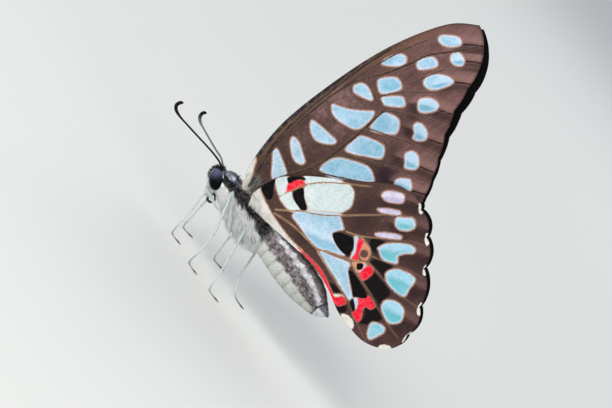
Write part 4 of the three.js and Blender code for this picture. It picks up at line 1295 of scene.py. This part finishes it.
def addEye(label, side):
    rx, ry, rz = eye["radii"]
    down, around = np.meshgrid(np.linspace(0.03, np.pi - 0.03, eye["rows"]),
                               np.linspace(0, 2 * np.pi, eye["columns"], endpoint=False), indexing="ij")
    ball = aroundEye(rx * np.sin(down) * np.cos(around), rz * np.sin(down) * np.sin(around),
                     side * eye["centre"][1] + ry * np.cos(down))
    addLoft(f"eye_{label}_facets", ball, "eye", [f"eye_{label}"], eyeLook)

    # a sleeve of scales round the eye, white where it meets the facets and dark where it leaves the head
    out, wide = (np.repeat(np.array(eye[key])[:, None], eye["columns"], 1) for key in ("rimOut", "rimWide"))
    forwards, upwards = np.cos(around[0]), np.sin(around[0])
    front = 0.5 * (forwards < 0)  # the front of the rim is pale up to the crown
    bare = smoothstep(upwards, 0.2 + front, 0.75 + 0.5 * front)
    white = smoothstep(out, 0.72, 0.95) * (1 - bare) * (1 - front * smoothstep(upwards, -0.4, 0.4))
    addLoft(f"eye_{label}_rim", aroundEye(wide * rx * forwards, wide * rz * upwards, side * out), "head_fur", (),
            skinLook, tone=mixed(white, headTints["rimDark"], headTints["rimWhite"]))


def addAntenna(label, side):
    path = centripetal(antenna[label], antenna["segments"] * antenna["ringsPerSegment"] + 1)
    u = np.linspace(0, 1, len(path))
    radii = antenna["radius"] + (antenna["clubRadius"] - antenna["radius"]) * smoothstep(u, 0.7, 0.9)
    radii *= 1 + 0.1 * np.abs(np.sin(np.pi * u * antenna["segments"])) ** 0.5
    radii *= np.sqrt(np.clip((1 - u) / 0.03, 0.02, 1))
    rings = tubeRings(path, radii, antenna["sides"])
    inward = -side * (rings[..., 1] - path[:, None, 1]) / radii[:, None]
    pale = smoothstep(inward, -0.2, 0.6) * smoothstep(u, 0.93, 0.75)[:, None]
    addLoft(f"antenna_{label}_horn", rings, "horn", [f"antenna_{label}"], antennaLook,
            tone=mixed(pale, headTints["antennaBlack"], headTints["antennaPale"]))


def addPalpus(label, side):
    path = centripetal([(x, y * side, z) for x, y, z in palpus["path"]], palpus["rings"])
    u = np.linspace(0, 1, palpus["rings"])
    radii = palpus["radius"] * np.sqrt(np.clip(np.minimum(u, 1 - u) / 0.08, 0.05, 1)) * (1 - 0.3 * u * u)
    rings = tubeRings(path, radii, palpus["sides"])
    everywhere = np.ones(rings.shape[:2])
    beard = smoothstep(0.75 - u, 0, 0.5)[:, None]  # longer hair that hangs down below the face
    lie = headings(path) * (1 - beard) + np.array((-0.1, 0, -1)) * beard
    skin = addLoft(f"palpus_{label}_skin", rings, "head_fur", [f"palpus_{label}"], skinLook, fur=everywhere,
                   tone=mixed(smoothstep(rings[..., 0], -4.7, -4.9), headTints["palpusWhite"],
                              headTints["palpusTip"]),
                   lie=np.repeat(lie[:, None], palpus["sides"], 1), furLength=(1 + 1.9 * beard) * everywhere)
    grow(f"palpus_{label}_coat", skin.copy(), coat, "head_fur", Material=hairLook, **palpus["coat"])


def addProboscis():
    turn = np.linspace(0, proboscis["turns"], proboscis["rings"])
    radius = proboscis["innerRadius"] + turn * proboscis["pitch"]
    swing = 2 * np.pi * (turn - 0.25)
    x, z = proboscis["centre"]
    coil = np.column_stack([x - radius * np.cos(swing), 0 * turn, z - radius * np.sin(swing)])
    creases = 1 - 0.08 * np.abs(np.sin(turn * 60)) ** 4
    addLoft("proboscis_horn", tubeRings(coil, proboscis["radius"] * creases, proboscis["sides"]), "horn",
            ["proboscis"], hornLook)


print("stage: head")
eyeLook, antennaLook, hornLook = eyeFinish(), antennaFinish(), hornFinish()
for label, side in (("left", -1), ("right", 1)):
    addEye(label, side)
    addAntenna(label, side)
    addPalpus(label, side)
addProboscis()

# coxa, knee, ankle and shin as x, y, z; heel and toe rest on the floor
legs = {
    "fore_left": [(-0.6, -1, -5.2), (-3.75, -2.2, -4.3), (-3, -2.6, -7.4), (-2.5, -2.9, -10.2), (-2, -3.1),
                  (-0.3, -3.3)],
    "fore_right": [(-0.6, 1, -5.2), (-3.6, 2.4, -4.5), (-3.3, 2.8, -7.6), (-3, 3.2, -10.2), (-2.6, 3.5),
                   (-0.9, 3.9)],
    "mid_left": [(2.9, -2.2, -5.6), (-1, -3.5, -1.1), (2.2, -4.8, -6.8), (2.8, -5.3, -9.6), (3.2, -5.7),
                 (4.9, -6.2)],
    "mid_right": [(2.9, 2.2, -5.6), (1.6, 4.7, -3.2), (2.6, 5.4, -8.3), (3, 5.7, -10.3), (3.6, 5.9), (5.4, 6.2)],
    "hind_left": [(4.95, -1.35, -5.7), (4.6, -5, -2.75), (6.7, -5.6, -8.3), (7.3, -5.9, -10.1), (8.1, -6.1),
                  (9.9, -6.3)],
    "hind_right": [(5.2, 1.3, -5.75), (6.95, 4.2, -6.2), (8.05, 3.4, -9.85), (9.3, 2.7, -11.3), (10.5, 2.2),
                   (12.1, 1.8)]}
limb = {"femur": 0.22, "tibia": 0.155, "tarsus": 0.12, "tarsomeres": 5, "foreSlenderness": 0.72,
        "slenderRings": (44, 80), "femurRings": 24, "tibiaRings": 26, "tarsusRings": 88, "sides": 14,
        "coat": {"Tuft": tufts["scale"], "Density": 6e7, "Length": 0.0004, "Width": 0.00005, "Lift": 0.22,
                 "Wander": 0.12, "Seed": 11}}
claw = {"rings": 10, "sides": 8, "root": 0.06, "tip": 0.01}
legTints = tints(pale=(202, 210, 210), foot=(52, 42, 36), fleck=(120, 122, 120))


def legPath(points):
    # path, radii, part (0 femur, 1 tibia, 2 to 3 tarsus), toe and the way that the toe points
    onFloor = limb["tarsus"] - hinge["aboveFloor"]
    coxa, knee, ankle, shin, heel, toe = (np.array(p if len(p) == 3 else (*p, onFloor), float) for p in points)
    upper = [coxa + (knee - coxa) * k for k in np.linspace(0, 0.96, limb["femurRings"])]
    lower = [knee + (ankle - knee) * k for k in np.linspace(0.05, 0.97, limb["tibiaRings"])]
    foot = centripetal([ankle, shin, heel, toe], limb["tarsusRings"] + 2)[2:]
    u = np.linspace(0, 1, limb["femurRings"])
    femur = limb["femur"] * (0.72 + 0.4 * np.sin(np.pi * u ** 0.8) ** 0.8)
    u = np.linspace(0, 1, limb["tibiaRings"])
    tibia = limb["tibia"] * (0.95 + 0.2 * u ** 2 - 0.12 * np.sin(np.pi * u))
    u = np.linspace(0, 1, limb["tarsusRings"] + 2)[2:]
    tarsus = limb["tarsus"] * (0.82 + 0.18 * ((u * limb["tarsomeres"]) % 1))
    tarsus *= np.sqrt(np.clip((1 - u) / 0.02, 0.1, 1))
    part = np.concatenate([np.zeros(len(upper)), np.ones(len(lower)), 2 + u * 0.99])
    return np.vstack([upper, lower, foot]), np.concatenate([femur, tibia, tarsus]), part, toe, unit(toe - heel)


def legFinish():
    f = Finish("leg_scales", Roughness=0.6, Sheen_Weight=0.1)
    colour = f.blend(f.step(f.noise(4000, 3), 0.3, 0.75, 0, 0.35), f.field("tone", "Color"), legTints["fleck"])
    return f.finished(colour, f.noise(9000, 2), 0.00002, 0.7)


def addLeg(name, points):
    path, radii, part, toe, ahead = legPath(points)
    if "fore" in name:
        radii *= np.interp(np.arange(len(radii)), limb["slenderRings"], [limb["foreSlenderness"], 1])
    rings = tubeRings(path, radii, limb["sides"])
    rings[..., 2] = np.maximum(rings[..., 2], -hinge["aboveFloor"])
    share = np.repeat(part[:, None], limb["sides"], 1)
    clear = smoothstep(rings[..., 2] + hinge["aboveFloor"], 0.1, 0.3)
    skin = addLoft(f"{name}_skin", rings, "leg_scales", [f"{name}_femur", f"{name}_tibia", f"{name}_tarsus"],
                   legLook, tone=mixed(smoothstep(share, 2.3, 2.95), legTints["pale"], legTints["foot"]),
                   lie=np.repeat(headings(path)[:, None], limb["sides"], 1),
                   fur=np.clip(2.9 - share, 0, 1) * clear, furLength=np.clip(1.15 - 0.3 * share, 0.45, 1))
    grow(f"{name}_coat", skin.copy(), coat, "leg_scales", Material=hairLook, **limb["coat"])
    across = np.cross(ahead, (0, 0, 1))
    for hook, lean in (("a", -0.5), ("b", 0.5)):
        bend = drawn([toe + ahead * 0.02, toe + ahead * 0.16 + across * 0.1 * lean + (0, 0, 0.04),
                      toe + ahead * 0.3 + across * 0.3 * lean - (0, 0, 0.08)], claw["rings"])
        addLoft(f"{name}_claw_{hook}",
                tubeRings(bend, np.linspace(claw["root"], claw["tip"], claw["rings"]), claw["sides"]),
                "leg_scales", (), hornLook)


print("stage: legs")
legLook = legFinish()
for name, points in legs.items():
    addLeg(name, points)

for spare in tufts.values():
    bpy.data.objects.remove(spare)
